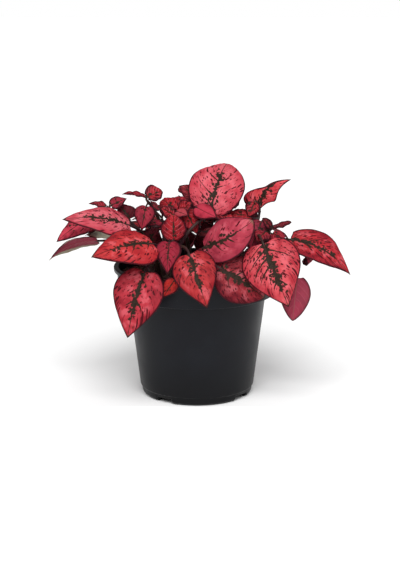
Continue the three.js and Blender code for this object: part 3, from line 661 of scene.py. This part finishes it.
def leaf_markings():
    """The pattern of a leaf, from where a point lies on the blade. Lengths are in millimetres here."""
    group, g, given, out = new_group("leaf markings", ["Place", "Veins", "Marks", "Kind"],
                                     ["Blotch", "Rib", "Freckle", "Vein", "Margin", "Mottle"])
    along, across, half = g.split(given["Place"])
    phase, s, share = g.split(given["Veins"])
    rib, freckles, _net = g.split(given["Marks"])
    seed, spacing, _pale = g.split(given["Kind"])
    side = g.math("SIGN", across)
    spot = g.join(along, across, seed)
    wobbled = g.split(g.warp(spot, 0.9, 1.3))
    away = g.math("ABSOLUTE", across)
    ragged_away = g.math("ABSOLUTE", wobbled[1])
    mottle = g.noise(spot, 0.16, 2.0)

    # Side veins: a thin line at the middle of each whole step of the phase, off_vein millimetres away.
    wavering = g.add(phase, g.times(g.math("SUBTRACT", g.noise(spot, 0.5, 2.0), 0.5), 0.22))
    off_vein = g.times(g.math("ABSOLUTE", g.math("SUBTRACT", g.math("FRACT", wavering), 0.5)), spacing)
    line = g.band(off_vein, 0.1, 0.42, 1.0, 0.0)
    vein = g.times(g.times(line, g.band(away, 0.2, 1.0)), g.band(share, 0.6, 0.95, 1.0, 0.15))
    g.put(vein, out["Vein"])

    # The blotch on the midrib: knots of ragged width, with jagged arms along some of the side veins.
    knots = g.noise(g.join(g.times(along, 0.24), g.times(side, 5.0), seed), 1.0, 3.0, 0.6)
    reach = g.times(g.band(s, 0.0, 0.06, 0.6, 1.0), g.band(s, 0.5, 0.78, 1.0, 0.1))
    width = g.times(g.times(rib, reach), g.band(knots, 0.4, 0.64, 0.55, 2.4))
    knot = g.band(g.math("SUBTRACT", width, ragged_away), -0.2, 0.2)
    distance, chance, _size = g.cells(g.warp(spot, 0.7, 3.0), 0.42)
    near_rib = g.times(g.times(rib, reach), g.band(away, 0.4, 6.5, 0.8, 0.0))
    keep = g.band(g.math("SUBTRACT", near_rib, chance), 0.0, 0.05)
    knot = g.math("MAXIMUM", knot, g.times(g.band(g.math("SUBTRACT", 0.5, distance), -0.05, 0.05), keep))
    luck = g.chance(g.join(g.math("FLOOR", wavering), side, g.math("FLOOR", seed)))
    arm_share = g.band(luck, 0.15, 0.9, 0.0, 0.62)
    fading = g.band(s, 0.5, 0.8, 1.0, 0.1)
    arm_length = g.times(g.times(half, arm_share), g.times(rib, fading))
    left_of_arm = g.math("SUBTRACT", arm_length, ragged_away)
    to_arm_end = g.math("DIVIDE", left_of_arm, g.add(arm_length, 0.1), clamp=True)
    arm_width = g.times(to_arm_end, g.add(0.45, g.times(knots, 1.1)))
    arm = g.band(g.math("SUBTRACT", arm_width, off_vein), -0.05, 0.15)
    g.put(g.math("MAXIMUM", knot, g.times(arm, g.band(to_arm_end, 0.0, 0.15))), out["Blotch"])
    g.put(g.times(g.band(away, 0.14, 0.42, 1.0, 0.0), g.band(s, 0.0, 0.98, 1.0, 0.7)), out["Rib"])

    # Freckles: ragged blots of two sizes, which follow the side veins, and dashes on the veins themselves.
    stretched = g.join(g.times(phase, spacing), g.times(away, 0.9), g.add(seed, g.times(side, 9.0)))
    ragged = g.warp(stretched, 0.8, 2.0)
    spread = g.times(freckles, g.band(share, 0.05, 0.4, 0.45, 1.0))
    blot = leaf_spots(g, ragged, g.times(spread, 0.8), scale=0.42, smallest=0.2, edge=(-0.06, 0.04))
    speck = leaf_spots(g, ragged, g.times(spread, 0.4), scale=0.8, smallest=0.24, edge=(-0.08, 0.06))
    broken = g.band(g.add(g.noise(ragged, 0.4, 2.0), g.times(spread, 0.08)), 0.66, 0.72)
    dash = g.times(g.times(g.band(off_vein, 0.3, 0.6, 1.0, 0.0), broken), g.band(spread, 0.0, 0.3))
    freckle = g.math("MAXIMUM", g.math("MAXIMUM", blot, speck), dash)
    g.put(g.times(freckle, g.band(away, 0.3, 1.0)), out["Freckle"])

    # The margin: a thin dark line round the blade.
    to_edge = g.math("SUBTRACT", half, away)
    g.put(g.band(to_edge, 0.55, 1.25, 1.0, 0.0), out["Margin"])
    g.put(mottle, out["Mottle"])
    return group


def place_group(g, group, **inputs):
    """Places a node group in a graph, and gives its outputs."""
    made = g.node("ShaderNodeGroup")
    made.node_tree = group
    for name, value in inputs.items():
        g.put(value, made.inputs[name])
    return made.outputs


def new_material(name, **settings):
    """A material with its node graph and its Principled shader, whose plain inputs are given in settings."""
    material = bpy.data.materials.new(name)
    material.use_nodes = True
    shader = material.node_tree.nodes["Principled BSDF"]
    for key, value in settings.items():
        shader.inputs[key.replace("_", " ")].default_value = value
    return material, Graph(material.node_tree), shader


def bump(g, shader, height, strength, distance):
    made = g.node("ShaderNodeBump", {"Height": height, "Strength": strength, "Distance": distance})
    g.put(made.outputs[0], shader.inputs["Normal"])


DARK_BLOTCH = colour(36, 26, 22)
BLOTCH_GREEN = colour(62, 52, 38)
DARK_RIB = colour(62, 20, 25)
DARK_FRECKLE = colour(62, 10, 18)
# The lighter pink of the painted highlights on the leaves.
PAINTED_HIGHLIGHT_PINK = colour(222, 120, 130)
DARK_VEIN = colour(112, 18, 34)
LIGHT_VEIN = colour(214, 104, 114)
DARK_MARGIN = colour(46, 12, 20)
TIP_GREEN = colour(96, 84, 66)
UNDER_MAROON = colour(138, 42, 62)
UNDER_EDGE = colour(104, 34, 48)
UNDER_PALE = colour(168, 164, 142)
UNDER_VEIN = colour(164, 76, 92)
UNDER_RIB = colour(120, 84, 74)
LEAF_FLESH = dict(Subsurface_Weight=0.08, Subsurface_Scale=0.0015, Subsurface_Radius=(1.0, 0.25, 0.2))


def leaf_upper(markings):
    """The upper side. Its ground darkens towards the edge, lighter pink patches on it are painted
    highlights, and each marking is laid over the one before.
    """
    material, g, shader = new_material("leaf_upper", Roughness=0.5, Specular_IOR_Level=0.06, **LEAF_FLESH)
    place, veins = g.attribute("leaf_place"), g.attribute("leaf_veins")
    marks, kind = g.attribute("leaf_marks"), g.attribute("leaf_kind")
    drawn = place_group(g, markings, Place=place, Veins=veins, Marks=marks, Kind=kind)
    along, across, _half = g.split(place)
    _phase, s, share = g.split(veins)
    rib, _freckles, net = g.split(marks)
    seed, _spacing, _pale = g.split(kind)
    towards_edge = g.add(g.band(share, 0.35, 1.0, 0.0, 0.75), g.band(drawn["Mottle"], 0.48, 0.7, 0.0, 0.7))
    base = g.mix(g.math("MINIMUM", towards_edge, 1.0), g.attribute("leaf_ground"), g.attribute("leaf_edge"))
    # Painted highlights: lighter pink patches in the middle of each half of a blade, as if its swells caught
    # the light.
    painted_highlight = g.times(g.band(drawn["Mottle"], 0.36, 0.5, 0.25, 0.0), g.band(share, 0.5, 0.9, 1.0, 0.0))
    base = g.mix(g.times(painted_highlight, g.band(rib, 0.5, 0.8)), base, PAINTED_HIGHLIGHT_PINK)
    light = g.times(drawn["Vein"], g.math("MAXIMUM", net, 0.0))
    dark = g.times(drawn["Vein"], g.add(0.07, g.math("MAXIMUM", g.times(net, -1.0), 0.0)))
    base = g.mix(light, base, LIGHT_VEIN)
    base = g.mix(g.math("MINIMUM", dark, 0.9), base, DARK_VEIN)
    base = g.mix(g.times(drawn["Freckle"], 0.97), base, DARK_FRECKLE)
    speck = g.noise(g.join(along, across, seed), 2.4, 2.0)
    blotch = g.mix(g.band(speck, 0.45, 0.65, 0.0, 0.6), DARK_BLOTCH, BLOTCH_GREEN)
    base = g.mix(g.times(drawn["Rib"], 0.8), base, DARK_RIB)
    base = g.mix(drawn["Blotch"], base, blotch)
    base = g.mix(g.band(s, 0.93, 0.99, 0.0, 0.7), base, TIP_GREEN)
    base = g.mix(g.times(drawn["Margin"], 0.95), base, DARK_MARGIN)
    g.put(base, shader.inputs["Base Color"])
    g.put(g.band(speck, 0.3, 0.7, 0.42, 0.6), shader.inputs["Roughness"])
    cells = g.node("ShaderNodeTexVoronoi", {"Vector": g.join(along, across, seed), "Scale": 2.2})
    height = g.add(g.times(cells.outputs["Distance"], -0.5), g.times(drawn["Vein"], -0.9))
    bump(g, shader, height, 0.35, 0.0003)
    return material


def leaf_under(markings):
    """The underside: maroon, and pale towards the edge and tip."""
    material, g, shader = new_material("leaf_under", Roughness=0.6, Specular_IOR_Level=0.2, **LEAF_FLESH)
    place, veins = g.attribute("leaf_place"), g.attribute("leaf_veins")
    marks, kind = g.attribute("leaf_marks"), g.attribute("leaf_kind")
    drawn = place_group(g, markings, Place=place, Veins=veins, Marks=marks, Kind=kind)
    along, across, _half = g.split(place)
    _phase, s, share = g.split(veins)
    seed, _spacing, pale = g.split(kind)
    base = g.mix(g.band(share, 0.3, 1.0, 0.0, 0.6), UNDER_MAROON, UNDER_EDGE)
    base = g.mix(g.band(drawn["Mottle"], 0.45, 0.7, 0.0, 0.4), base, UNDER_EDGE)
    base = g.mix(g.times(drawn["Vein"], 0.3), base, UNDER_VEIN)
    outward = g.add(g.add(g.times(share, 0.6), g.times(s, 0.3)), pale)
    base = g.mix(g.band(outward, 0.92, 1.12), base, UNDER_PALE)
    base = g.mix(g.times(drawn["Rib"], 0.5), base, UNDER_RIB)
    base = g.mix(g.times(drawn["Margin"], g.band(pale, 0.0, 0.3, 0.8, 0.25)), base, DARK_MARGIN)
    g.put(base, shader.inputs["Base Color"])
    grain = g.noise(g.join(along, across, seed), 3.0, 2.0)
    bump(g, shader, g.add(grain, g.times(drawn["Vein"], 1.2)), 0.4, 0.0003)
    return material


STEM_PURPLE = colour(40, 16, 22)
STEM_BROWN = colour(48, 36, 27)
STEM_STREAK = colour(80, 35, 42)


def stem_skin():
    """Dark purple to brown, with fine streaks along the stem."""
    material, g, shader = new_material("stem_skin", Roughness=0.5, Specular_IOR_Level=0.2)
    place = g.node("ShaderNodeTexCoord").outputs["Object"]
    broad = g.noise(place, 60.0, 2.0)
    streak = g.node("ShaderNodeMapping", {"Vector": place, "Scale": (900.0, 900.0, 90.0)})
    fine = g.noise(streak.outputs[0], 1.0, 2.0)
    base = g.mix(g.band(broad, 0.4, 0.65), STEM_PURPLE, STEM_BROWN)
    base = g.mix(g.band(fine, 0.45, 0.7, 0.0, 0.4), base, STEM_STREAK)
    g.put(base, shader.inputs["Base Color"])
    bump(g, shader, fine, 0.3, 0.0002)
    return material


POT_BLACK = colour(12, 13, 19)
POT_GREY = colour(16, 18, 24)
POT_DUST = colour(120, 112, 104)
# The dark of the painted shade at the pot's foot.
POT_FOOT_SHADE = colour(2, 2, 3)


def pot_plastic():
    """Cloudy black, with a little dust, and painted shade darkening it towards the foot."""
    material, g, shader = new_material("pot_plastic", Roughness=0.4, Specular_IOR_Level=0.15)
    place = g.node("ShaderNodeTexCoord").outputs["Object"]
    grain = g.noise(place, 2600.0, 2.0)
    cloud = g.noise(place, 45.0, 3.0)
    base = g.mix(g.band(cloud, 0.35, 0.7), POT_BLACK, POT_GREY)
    dust = g.times(g.band(g.noise(place, 420.0, 4.0, 0.7), 0.62, 0.78), 0.05)
    base = g.mix(dust, base, POT_DUST)
    height = g.split(place)[2]
    # Painted shade: the plastic is darker towards the foot.
    base = g.mix(g.band(height, 0.0, 0.05, 0.8, 0.0), base, POT_FOOT_SHADE)
    g.put(base, shader.inputs["Base Color"])
    g.put(g.band(cloud, 0.3, 0.7, 0.36, 0.46), shader.inputs["Roughness"])
    bump(g, shader, grain, 0.12, 0.0001)
    return material


# The peat's own dark browns, tinted redder as painted reflected light from the red leaves.
PEAT_DARK = colour(36, 18, 15)
PEAT_BROWN = colour(74, 46, 36)
PEAT_FLECK = colour(104, 80, 58)


def peat():
    """Dark and brown clods with pale flecks, tinted redder by painted light reflected from the leaves."""
    material, g, shader = new_material("peat", Roughness=0.95)
    place = g.node("ShaderNodeTexCoord").outputs["Object"]
    clod = g.noise(place, 240.0, 4.0, 0.65)
    fleck = g.noise(place, 900.0, 3.0, 0.6)
    base = g.mix(g.band(clod, 0.35, 0.65), PEAT_DARK, PEAT_BROWN)
    base = g.mix(g.band(fleck, 0.62, 0.72, 0.0, 0.6), base, PEAT_FLECK)
    g.put(base, shader.inputs["Base Color"])
    bump(g, shader, g.add(clod, fleck), 0.8, 0.0006)
    return material


# ---- Pot ----

POT_HEIGHT = 94
LIP_RADIUS = 60
LIP_DROP = 3.2
COLLAR_TOP_RADIUS = 57.6
COLLAR_FOOT_RADIUS = 56.6
COLLAR_FOOT = 75
BODY_TOP_RADIUS = 49.8
BODY_FOOT_RADIUS = 41.3
BODY_FOOT = 5.6
BODY_STEP = 1.0  # how far the body stands out over the foot
FOOT_EDGE_RADIUS = 39.9
FOOT_EDGE = 1.57  # height at which the foot's rounding meets its side
FOOT_RADIUS = 37.5
FOOT_RING_WIDTH = 3.5
FLOOR_HEIGHT = 3
WALL = 1.3
AXIS_GAP = 0.01  # the pot is turned from this near to its axis, and its middle then closes
JOIN_WITHIN = 0.03  # points nearer to each other than this become one
POT_SEGMENTS = 288
POT_ROW_HEIGHT = 6
NOTCH_TURNS = [-126, -36, 54, 144]
NOTCH_WIDTH = 13
NOTCH_HEIGHT = 3.8
NOTCH_REACH = (33, 44)  # a notch is cut between these distances from the axis
DRAIN_HOLES = 6
DRAIN_RADIUS = 3.2
DRAIN_CIRCLE = 26
DRILL_DEPTH = 8


def rounded(points):
    """A profile with each corner (r, z, radius) turned into a small arc."""
    made = []
    for i, (r, z, radius) in enumerate(points):
        here = np.array([r, z], float)
        if radius == 0 or i in (0, len(points) - 1):
            made.append(here)
            continue
        before = np.array(points[i - 1][:2], float) - here
        after = np.array(points[i + 1][:2], float) - here
        cut = min(radius, np.linalg.norm(before) * 0.45, np.linalg.norm(after) * 0.45)
        made.extend(bezier(here + unit(before) * cut, here, here + unit(after) * cut, 5))
    return made


def pot_profile():
    """The pot's outside from the middle of its floor up to the lip, and its inside down again."""
    ring_inner = FOOT_RADIUS - FOOT_RING_WIDTH
    lip_foot = POT_HEIGHT - LIP_DROP
    slope = (BODY_TOP_RADIUS - BODY_FOOT_RADIUS) / (COLLAR_FOOT - BODY_FOOT)
    return rounded([
        (AXIS_GAP, FLOOR_HEIGHT, 0),
        (ring_inner - 1, FLOOR_HEIGHT, 0.5),
        (ring_inner, 0, 0.3),
        (FOOT_RADIUS, 0, 0.6),
        (FOOT_EDGE_RADIUS, FOOT_EDGE, 1.2),
        (BODY_FOOT_RADIUS - BODY_STEP, BODY_FOOT, 0.4),
        (BODY_FOOT_RADIUS, BODY_FOOT + 0.8, 0.5),
        (BODY_TOP_RADIUS, COLLAR_FOOT, 0.5),
        (COLLAR_FOOT_RADIUS - 0.2, COLLAR_FOOT, 0.9),
        (COLLAR_TOP_RADIUS, lip_foot, 0.4),
        (LIP_RADIUS - 0.2, lip_foot, 0.7),
        (LIP_RADIUS, POT_HEIGHT, 1.1),
        (COLLAR_TOP_RADIUS - WALL, POT_HEIGHT, 1.0),
        (COLLAR_FOOT_RADIUS - WALL, COLLAR_FOOT + WALL + 0.6, 0.8),
        (BODY_TOP_RADIUS - WALL, COLLAR_FOOT + WALL, 0.4),
        (BODY_FOOT_RADIUS + slope * 3 - WALL, BODY_FOOT + 3, 1.0),
        (BODY_FOOT_RADIUS - WALL - 3, FLOOR_HEIGHT + WALL, 0.8),
        (AXIS_GAP, FLOOR_HEIGHT + WALL, 0),
    ])


def finely_divided(profile):
    """A profile whose long stretches are cut into shorter ones."""
    fine = []
    for a, b in zip(profile, profile[1:]):
        steps = max(1, int(np.linalg.norm(b - a) / POT_ROW_HEIGHT))
        fine.extend(a + (b - a) * t / steps for t in range(steps))
    return [*fine, profile[-1]]


def close_doubles(piece):
    """Joins the doubled points of a turned piece, and points its faces outwards."""
    shape = bmesh.new()
    shape.from_mesh(piece.data)
    bmesh.ops.remove_doubles(shape, verts=shape.verts, dist=JOIN_WITHIN * MM)
    bmesh.ops.recalc_face_normals(shape, faces=shape.faces)
    shape.to_mesh(piece.data)
    shape.free()


def make_pot(plastic):
    """The pot, turned from its profile, with notches in its foot ring and holes in its floor."""
    profile = finely_divided(pot_profile())
    points, faces = [], []
    rings = len(profile)
    for k in range(POT_SEGMENTS):
        turn = 2 * math.pi * k / POT_SEGMENTS
        gap = min(abs((math.degrees(turn) - notch + 180) % 360 - 180) for notch in NOTCH_TURNS)
        for r, z in profile:
            off_middle = r * math.sin(math.radians(min(gap, 90)))
            in_notch = off_middle < NOTCH_WIDTH / 2 and NOTCH_REACH[0] < r < NOTCH_REACH[1]
            height = max(z, NOTCH_HEIGHT) if in_notch else z
            points.append((r * math.cos(turn), r * math.sin(turn), height))
    for k in range(POT_SEGMENTS):
        a, b = k * rings, ((k + 1) % POT_SEGMENTS) * rings
        faces.extend((a + i, b + i, b + i + 1, a + i + 1) for i in range(rings - 1))
    build = Builder()
    build.add(points, faces)
    pot = build.object("nursery_pot", [plastic])
    close_doubles(pot)
    drill_drain_holes(pot)
    return pot


def drill_drain_holes(pot):
    for i in range(DRAIN_HOLES):
        turn = 2 * math.pi * i / DRAIN_HOLES
        spot = (DRAIN_CIRCLE * math.cos(turn) * MM, DRAIN_CIRCLE * math.sin(turn) * MM, FLOOR_HEIGHT * MM)
        bpy.ops.mesh.primitive_cylinder_add(vertices=24, radius=DRAIN_RADIUS * MM, depth=DRILL_DEPTH * MM,
                                            location=spot)
        drill = bpy.context.object
        cut = pot.modifiers.new("drain hole", "BOOLEAN")
        cut.object = drill
        cut.operation = "DIFFERENCE"
        cut.solver = "EXACT"
        with bpy.context.temp_override(object=pot, active_object=pot):
            bpy.ops.object.modifier_apply(modifier=cut.name)
        bpy.data.objects.remove(drill)


# ---- Soil ----

SOIL_CLEARANCE = 0.3
SOIL_RINGS = 46
SOIL_SIDES = 150
CRUMBS_PER_AREA = 150000.0  # a square metre
CRUMB_SIZES = (0.5, 1.7)  # radii
CRUMB_SQUASH = ((0.55, 0.55, 0.4), (1.2, 1.2, 0.9))  # the least and the greatest stretch in x, y and z
CRUMB_DENTS = 1.1
CRUMB_SEED = 4


def soil_height(x, y):
    """Height of the peat's surface, with swells, lumps and grit."""
    broad = 0.9 * math.sin(0.11 * x + 0.6) * math.cos(0.13 * y - 0.4)
    lumps = 0.6 * math.sin(0.31 * x - 0.2 * y) + 0.5 * math.cos(0.37 * y + 0.24 * x)
    grit = noise.fractal(Vector((x * 0.22, y * 0.22, 3.1)), 0.7, 2.1, 5) * 0.9
    return SOIL_TOP + broad + lumps + grit


def scatter_tree(name, *sizes):
    """A geometry node tree that a surface, some sizes, a seed and a material go into, with its graph, its
    inputs and the points that it strews over the surface. The first size is their density."""
    tree = bpy.data.node_groups.new(name, "GeometryNodeTree")
    tree.interface.new_socket(name="Geometry", in_out="INPUT", socket_type="NodeSocketGeometry")
    for size in sizes:
        tree.interface.new_socket(name=size, in_out="INPUT", socket_type="NodeSocketFloat")
    tree.interface.new_socket(name="Seed", in_out="INPUT", socket_type="NodeSocketInt")
    tree.interface.new_socket(name="Material", in_out="INPUT", socket_type="NodeSocketMaterial")
    tree.interface.new_socket(name="Geometry", in_out="OUTPUT", socket_type="NodeSocketGeometry")
    g = Graph(tree)
    given = tree.nodes.new("NodeGroupInput").outputs
    points = g.node("GeometryNodeDistributePointsOnFaces",
                    {"Mesh": given["Geometry"], "Density": given[sizes[0]], "Seed": given["Seed"]})
    return tree, g, given, points.outputs


def end_scatter(tree, g, given, mesh):
    """Paints what the tree has made, and puts it out."""
    painted = g.node("GeometryNodeSetMaterial", {"Geometry": mesh, "Material": given["Material"]})
    leave = tree.nodes.new("NodeGroupOutput")
    tree.links.new(painted.outputs[0], leave.inputs[0])
    return tree


def crumb_scatter():
    """Geometry nodes that strew small lumps over a surface."""
    tree, g, given, points = scatter_tree("crumb scatter", "Density", "Smallest", "Largest")
    lump = g.node("GeometryNodeMeshIcoSphere", {"Radius": 1.0, "Subdivisions": 2})
    size = g.node("FunctionNodeRandomValue", {2: given["Smallest"], 3: given["Largest"]}, data_type="FLOAT")
    least, greatest = CRUMB_SQUASH
    squash = g.node("FunctionNodeRandomValue", {0: least, 1: greatest}, data_type="FLOAT_VECTOR")
    scale = g.scaled(squash.outputs[0], size.outputs[1])
    turn = g.node("FunctionNodeRandomValue", {1: (6.28, 6.28, 6.28)}, data_type="FLOAT_VECTOR")
    strewn = g.node("GeometryNodeInstanceOnPoints", {"Points": points["Points"], "Scale": scale,
                                                     "Instance": lump.outputs["Mesh"],
                                                     "Rotation": turn.outputs[0]})
    real = g.node("GeometryNodeRealizeInstances", {"Geometry": strewn.outputs[0]})
    wobble = g.node("ShaderNodeTexNoise", {"Scale": 900.0}).outputs["Color"]
    centred = g.node("ShaderNodeVectorMath", {0: wobble, 1: (0.5, 0.5, 0.5)}, operation="SUBTRACT")
    dents = g.scaled(centred.outputs[0], CRUMB_DENTS * MM)
    rough = g.node("GeometryNodeSetPosition", {"Geometry": real.outputs[0], "Offset": dents})
    return end_scatter(tree, g, given, rough.outputs[0])


def hair_scatter():
    """Geometry nodes that stand fine hairs on a surface."""
    tree, g, given, points = scatter_tree("hair scatter", "Density", "Length", "Radius")
    hair = g.node("GeometryNodeMeshCone", {"Vertices": 3, "Radius Top": 0.0,
                                           "Radius Bottom": given["Radius"], "Depth": given["Length"]})
    size = g.node("FunctionNodeRandomValue", {2: 0.5, 3: 1.2}, data_type="FLOAT")
    grown = g.node("GeometryNodeInstanceOnPoints", {"Points": points["Points"], "Scale": size.outputs[1],
                                                    "Instance": hair.outputs["Mesh"],
                                                    "Rotation": points["Rotation"]})
    real = g.node("GeometryNodeRealizeInstances", {"Geometry": grown.outputs[0]})
    return end_scatter(tree, g, given, real.outputs[0])


def grown_by_nodes(source, tree, name, **inputs):
    """A plain mesh object of what a geometry node tree makes of a source object."""
    modifier = source.modifiers.new("grown", "NODES")
    modifier.node_group = tree
    for item in tree.interface.items_tree:
        if item.in_out == "INPUT" and item.name in inputs:
            modifier[item.identifier] = inputs[item.name]
    graph = bpy.context.evaluated_depsgraph_get()
    mesh = bpy.data.meshes.new_from_object(source.evaluated_get(graph))
    source.modifiers.remove(modifier)
    mesh.name = name
    made = bpy.data.objects.new(name, mesh)
    bpy.context.scene.collection.objects.link(made)
    return made


def soil_ring(radius):
    """The places of one ring of the peat's points."""
    turns = [2 * math.pi * k / SOIL_SIDES for k in range(SOIL_SIDES)]
    return [(radius * math.cos(turn), radius * math.sin(turn)) for turn in turns]


def make_soil(material):
    """The block of peat, and the crumbs on its surface."""
    wall_radius = COLLAR_FOOT_RADIUS - WALL - SOIL_CLEARANCE + 0.2
    points = [(0, 0, soil_height(0, 0))]
    for ring in range(1, SOIL_RINGS + 1):
        points.extend((x, y, soil_height(x, y)) for x, y in soil_ring(wall_radius * ring / SOIL_RINGS))
    ledge = COLLAR_FOOT + WALL + SOIL_CLEARANCE
    body_top = BODY_TOP_RADIUS - WALL - SOIL_CLEARANCE
    body_foot = BODY_FOOT_RADIUS - WALL - SOIL_CLEARANCE
    floor = FLOOR_HEIGHT + WALL + SOIL_CLEARANCE
    wall = [(wall_radius - 0.2, ledge + 0.6), (body_top, ledge), (body_foot + 0.3, BODY_FOOT + 3),
            (body_foot - 3, floor), (0.5, floor)]
    for radius, height in wall:
        points.extend((x, y, height) for x, y in soil_ring(radius))
    faces = [(0, 1 + k, 1 + (k + 1) % SOIL_SIDES) for k in range(SOIL_SIDES)]
    for ring in range(SOIL_RINGS + len(wall) - 1):
        a = 1 + ring * SOIL_SIDES
        b = a + SOIL_SIDES
        for k in range(SOIL_SIDES):
            j = (k + 1) % SOIL_SIDES
            faces.append((a + k, b + k, b + j, a + j))
    last = len(points) - SOIL_SIDES
    faces.append(tuple(last + k for k in range(SOIL_SIDES))[::-1])
    block = Builder()
    block.add(points, faces)
    soil = block.object("peat", [material])

    inner = 1 + (SOIL_RINGS - 1) * SOIL_SIDES
    bed = Builder()
    bed.add(points[:inner], [face for face in faces if max(face) < inner])
    surface = bed.object("crumb_bed", [material])
    smallest, largest = (size * MM for size in CRUMB_SIZES)
    crumbs = grown_by_nodes(surface, crumb_scatter(), "peat_crumbs", Density=CRUMBS_PER_AREA,
                            Smallest=smallest, Largest=largest, Seed=CRUMB_SEED, Material=material)
    bpy.data.objects.remove(surface)
    return soil, crumbs


# ---- The plant ----

HAIRS_PER_AREA = 250000.0  # a square metre
HAIR_LENGTH = 0.8
HAIR_RADIUS = 0.05


def make_shoot(name, shoot, materials, hair_tree, seed):
    """One shoot: its leaves, its stem and stalks, and their hairs. The seed varies the leaves."""
    blades, stalks = Builder(), Builder()
    line = stem_line(shoot)
    add_stem(stalks, shoot, line)
    for number, one in enumerate(shoot["leaves"]):
        add_blade(blades, one, seed + number * 1.7)
        add_petiole(stalks, one, line)
    short = name.replace("shoot_", "")
    leaves = blades.object("leaves_" + short, [materials["upper"], materials["under"]])
    stems = stalks.object("stems_" + short, [materials["stem"]])
    hairs = grown_by_nodes(stems, hair_tree, "stem_hairs_" + short, Density=HAIRS_PER_AREA,
                           Length=HAIR_LENGTH * MM, Radius=HAIR_RADIUS * MM, Seed=len(short),
                           Material=materials["stem"])
    for piece, slot in ((leaves, "leaf"), (stems, "stem"), (hairs, "stem")):
        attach(piece, "root")
        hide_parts(name)


def make_plant():
    markings = leaf_markings()
    materials = {"upper": leaf_upper(markings), "under": leaf_under(markings), "stem": stem_skin()}
    hair_tree = hair_scatter()
    for number, (name, shoot) in enumerate(SHOOTS.items()):
        make_shoot(name, shoot, materials, hair_tree, number * 3.1 + 1)


def make_pot_and_soil():
    pot = make_pot(pot_plastic())
    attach(pot, "root")
    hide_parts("pot")
    for piece in make_soil(peat()):
        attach(piece, "root")
        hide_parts("soil")


# ---- Studio ----

CAMERA_AIM = Vector((0.0022, 0.0, 0.079))
CAMERA_DISTANCE = 1.0
CAMERA_ELEVATION = math.radians(13.5)
VIEW_HEIGHT = 0.4121  # how much of the aim's plane the picture's long side takes in
SENSOR_WIDTH = 36  # millimetres
DOME_LIGHT = (0.2, 0.48)  # strength of the surroundings, from the floor's level up to straight above
SIDE_LIGHT = 0.35  # how much stronger they are straight to the left and right
DOME_SLANT = (0.85, 1.15)  # how the left and right of them compare
KEY_ENERGY = 3.4
KEY_SPREAD = 40  # degrees
KEY_DIRECTION = (0.0, 0.98, -1.0)
FLOOR_SIZE = 12
FLOOR_GLOW = 0.02  # how strongly the floor shines of itself
UNDER_POT = (0.041, 0.056)  # that glow begins between these distances from the pot's axis
FRONT_GLOW = 0.2  # how much stronger it is in front of the pot, where the floor is burnt out to white
FRONT_LINE = (-0.042, -0.039)  # the stronger glow fades out between these places in y


def make_camera():
    data = bpy.data.cameras.new("portrait")
    data.sensor_width = SENSOR_WIDTH
    data.lens = SENSOR_WIDTH / VIEW_HEIGHT * CAMERA_DISTANCE
    camera = bpy.data.objects.new("portrait", data)
    bpy.context.scene.collection.objects.link(camera)
    back = Vector((0, -math.cos(CAMERA_ELEVATION), math.sin(CAMERA_ELEVATION)))
    camera.location = CAMERA_AIM + back * CAMERA_DISTANCE
    camera.rotation_mode = "QUATERNION"
    camera.rotation_quaternion = (-back).to_track_quat("-Z", "Y")
    bpy.context.scene.camera = camera


def make_surroundings():
    """White all round for the camera, and a dome of softer light for the plant."""
    world = bpy.data.worlds.new("studio")
    world.use_nodes = True
    g = Graph(world.node_tree)
    seen = g.node("ShaderNodeLightPath").outputs["Is Camera Ray"]
    right, _back, up = g.split(g.node("ShaderNodeTexCoord").outputs["Generated"])
    sides = g.band(g.math("ABSOLUTE", right), 0.55, 0.98, 0.0, SIDE_LIGHT)
    dome = g.add(g.band(up, -0.1, 0.9, *DOME_LIGHT), sides)
    dome = g.times(dome, g.band(right, -1.0, 1.0, *DOME_SLANT))
    background = world.node_tree.nodes["Background"]
    g.put(g.math("MAXIMUM", seen, dome), background.inputs["Strength"])
    background.inputs["Color"].default_value = (1, 1, 1, 1)
    bpy.context.scene.world = world


def make_floor():
    bpy.ops.mesh.primitive_plane_add(size=FLOOR_SIZE)
    floor = bpy.context.object
    floor.name = "studio_floor"
    paper, g, shader = new_material("studio_floor", Roughness=0.9, Specular_IOR_Level=0.0,
                                    Base_Color=(0.9, 0.9, 0.9, 1), Emission_Color=(1, 1, 1, 1))
    x, y, _z = g.split(g.node("ShaderNodeTexCoord").outputs["Object"])
    from_axis = g.math("SQRT", g.add(g.times(x, x), g.times(y, y)))
    front = g.band(y, *FRONT_LINE, FRONT_GLOW, 0.0)
    g.put(g.add(front, g.band(from_axis, *UNDER_POT, 0.0, FLOOR_GLOW)), shader.inputs["Emission Strength"])
    floor.data.materials.append(paper)


def make_key():
    sun = bpy.data.lights.new("soft_key", "SUN")
    sun.energy = KEY_ENERGY
    sun.angle = math.radians(KEY_SPREAD)
    key = bpy.data.objects.new("soft_key", sun)
    key.rotation_mode = "QUATERNION"
    key.rotation_quaternion = Vector(KEY_DIRECTION).to_track_quat("-Z", "Y")
    bpy.context.scene.collection.objects.link(key)


bpy.context.scene.view_settings.view_transform = "Standard"
make_camera()
make_surroundings()
make_floor()
make_key()
make_pot_and_soil()
make_plant()
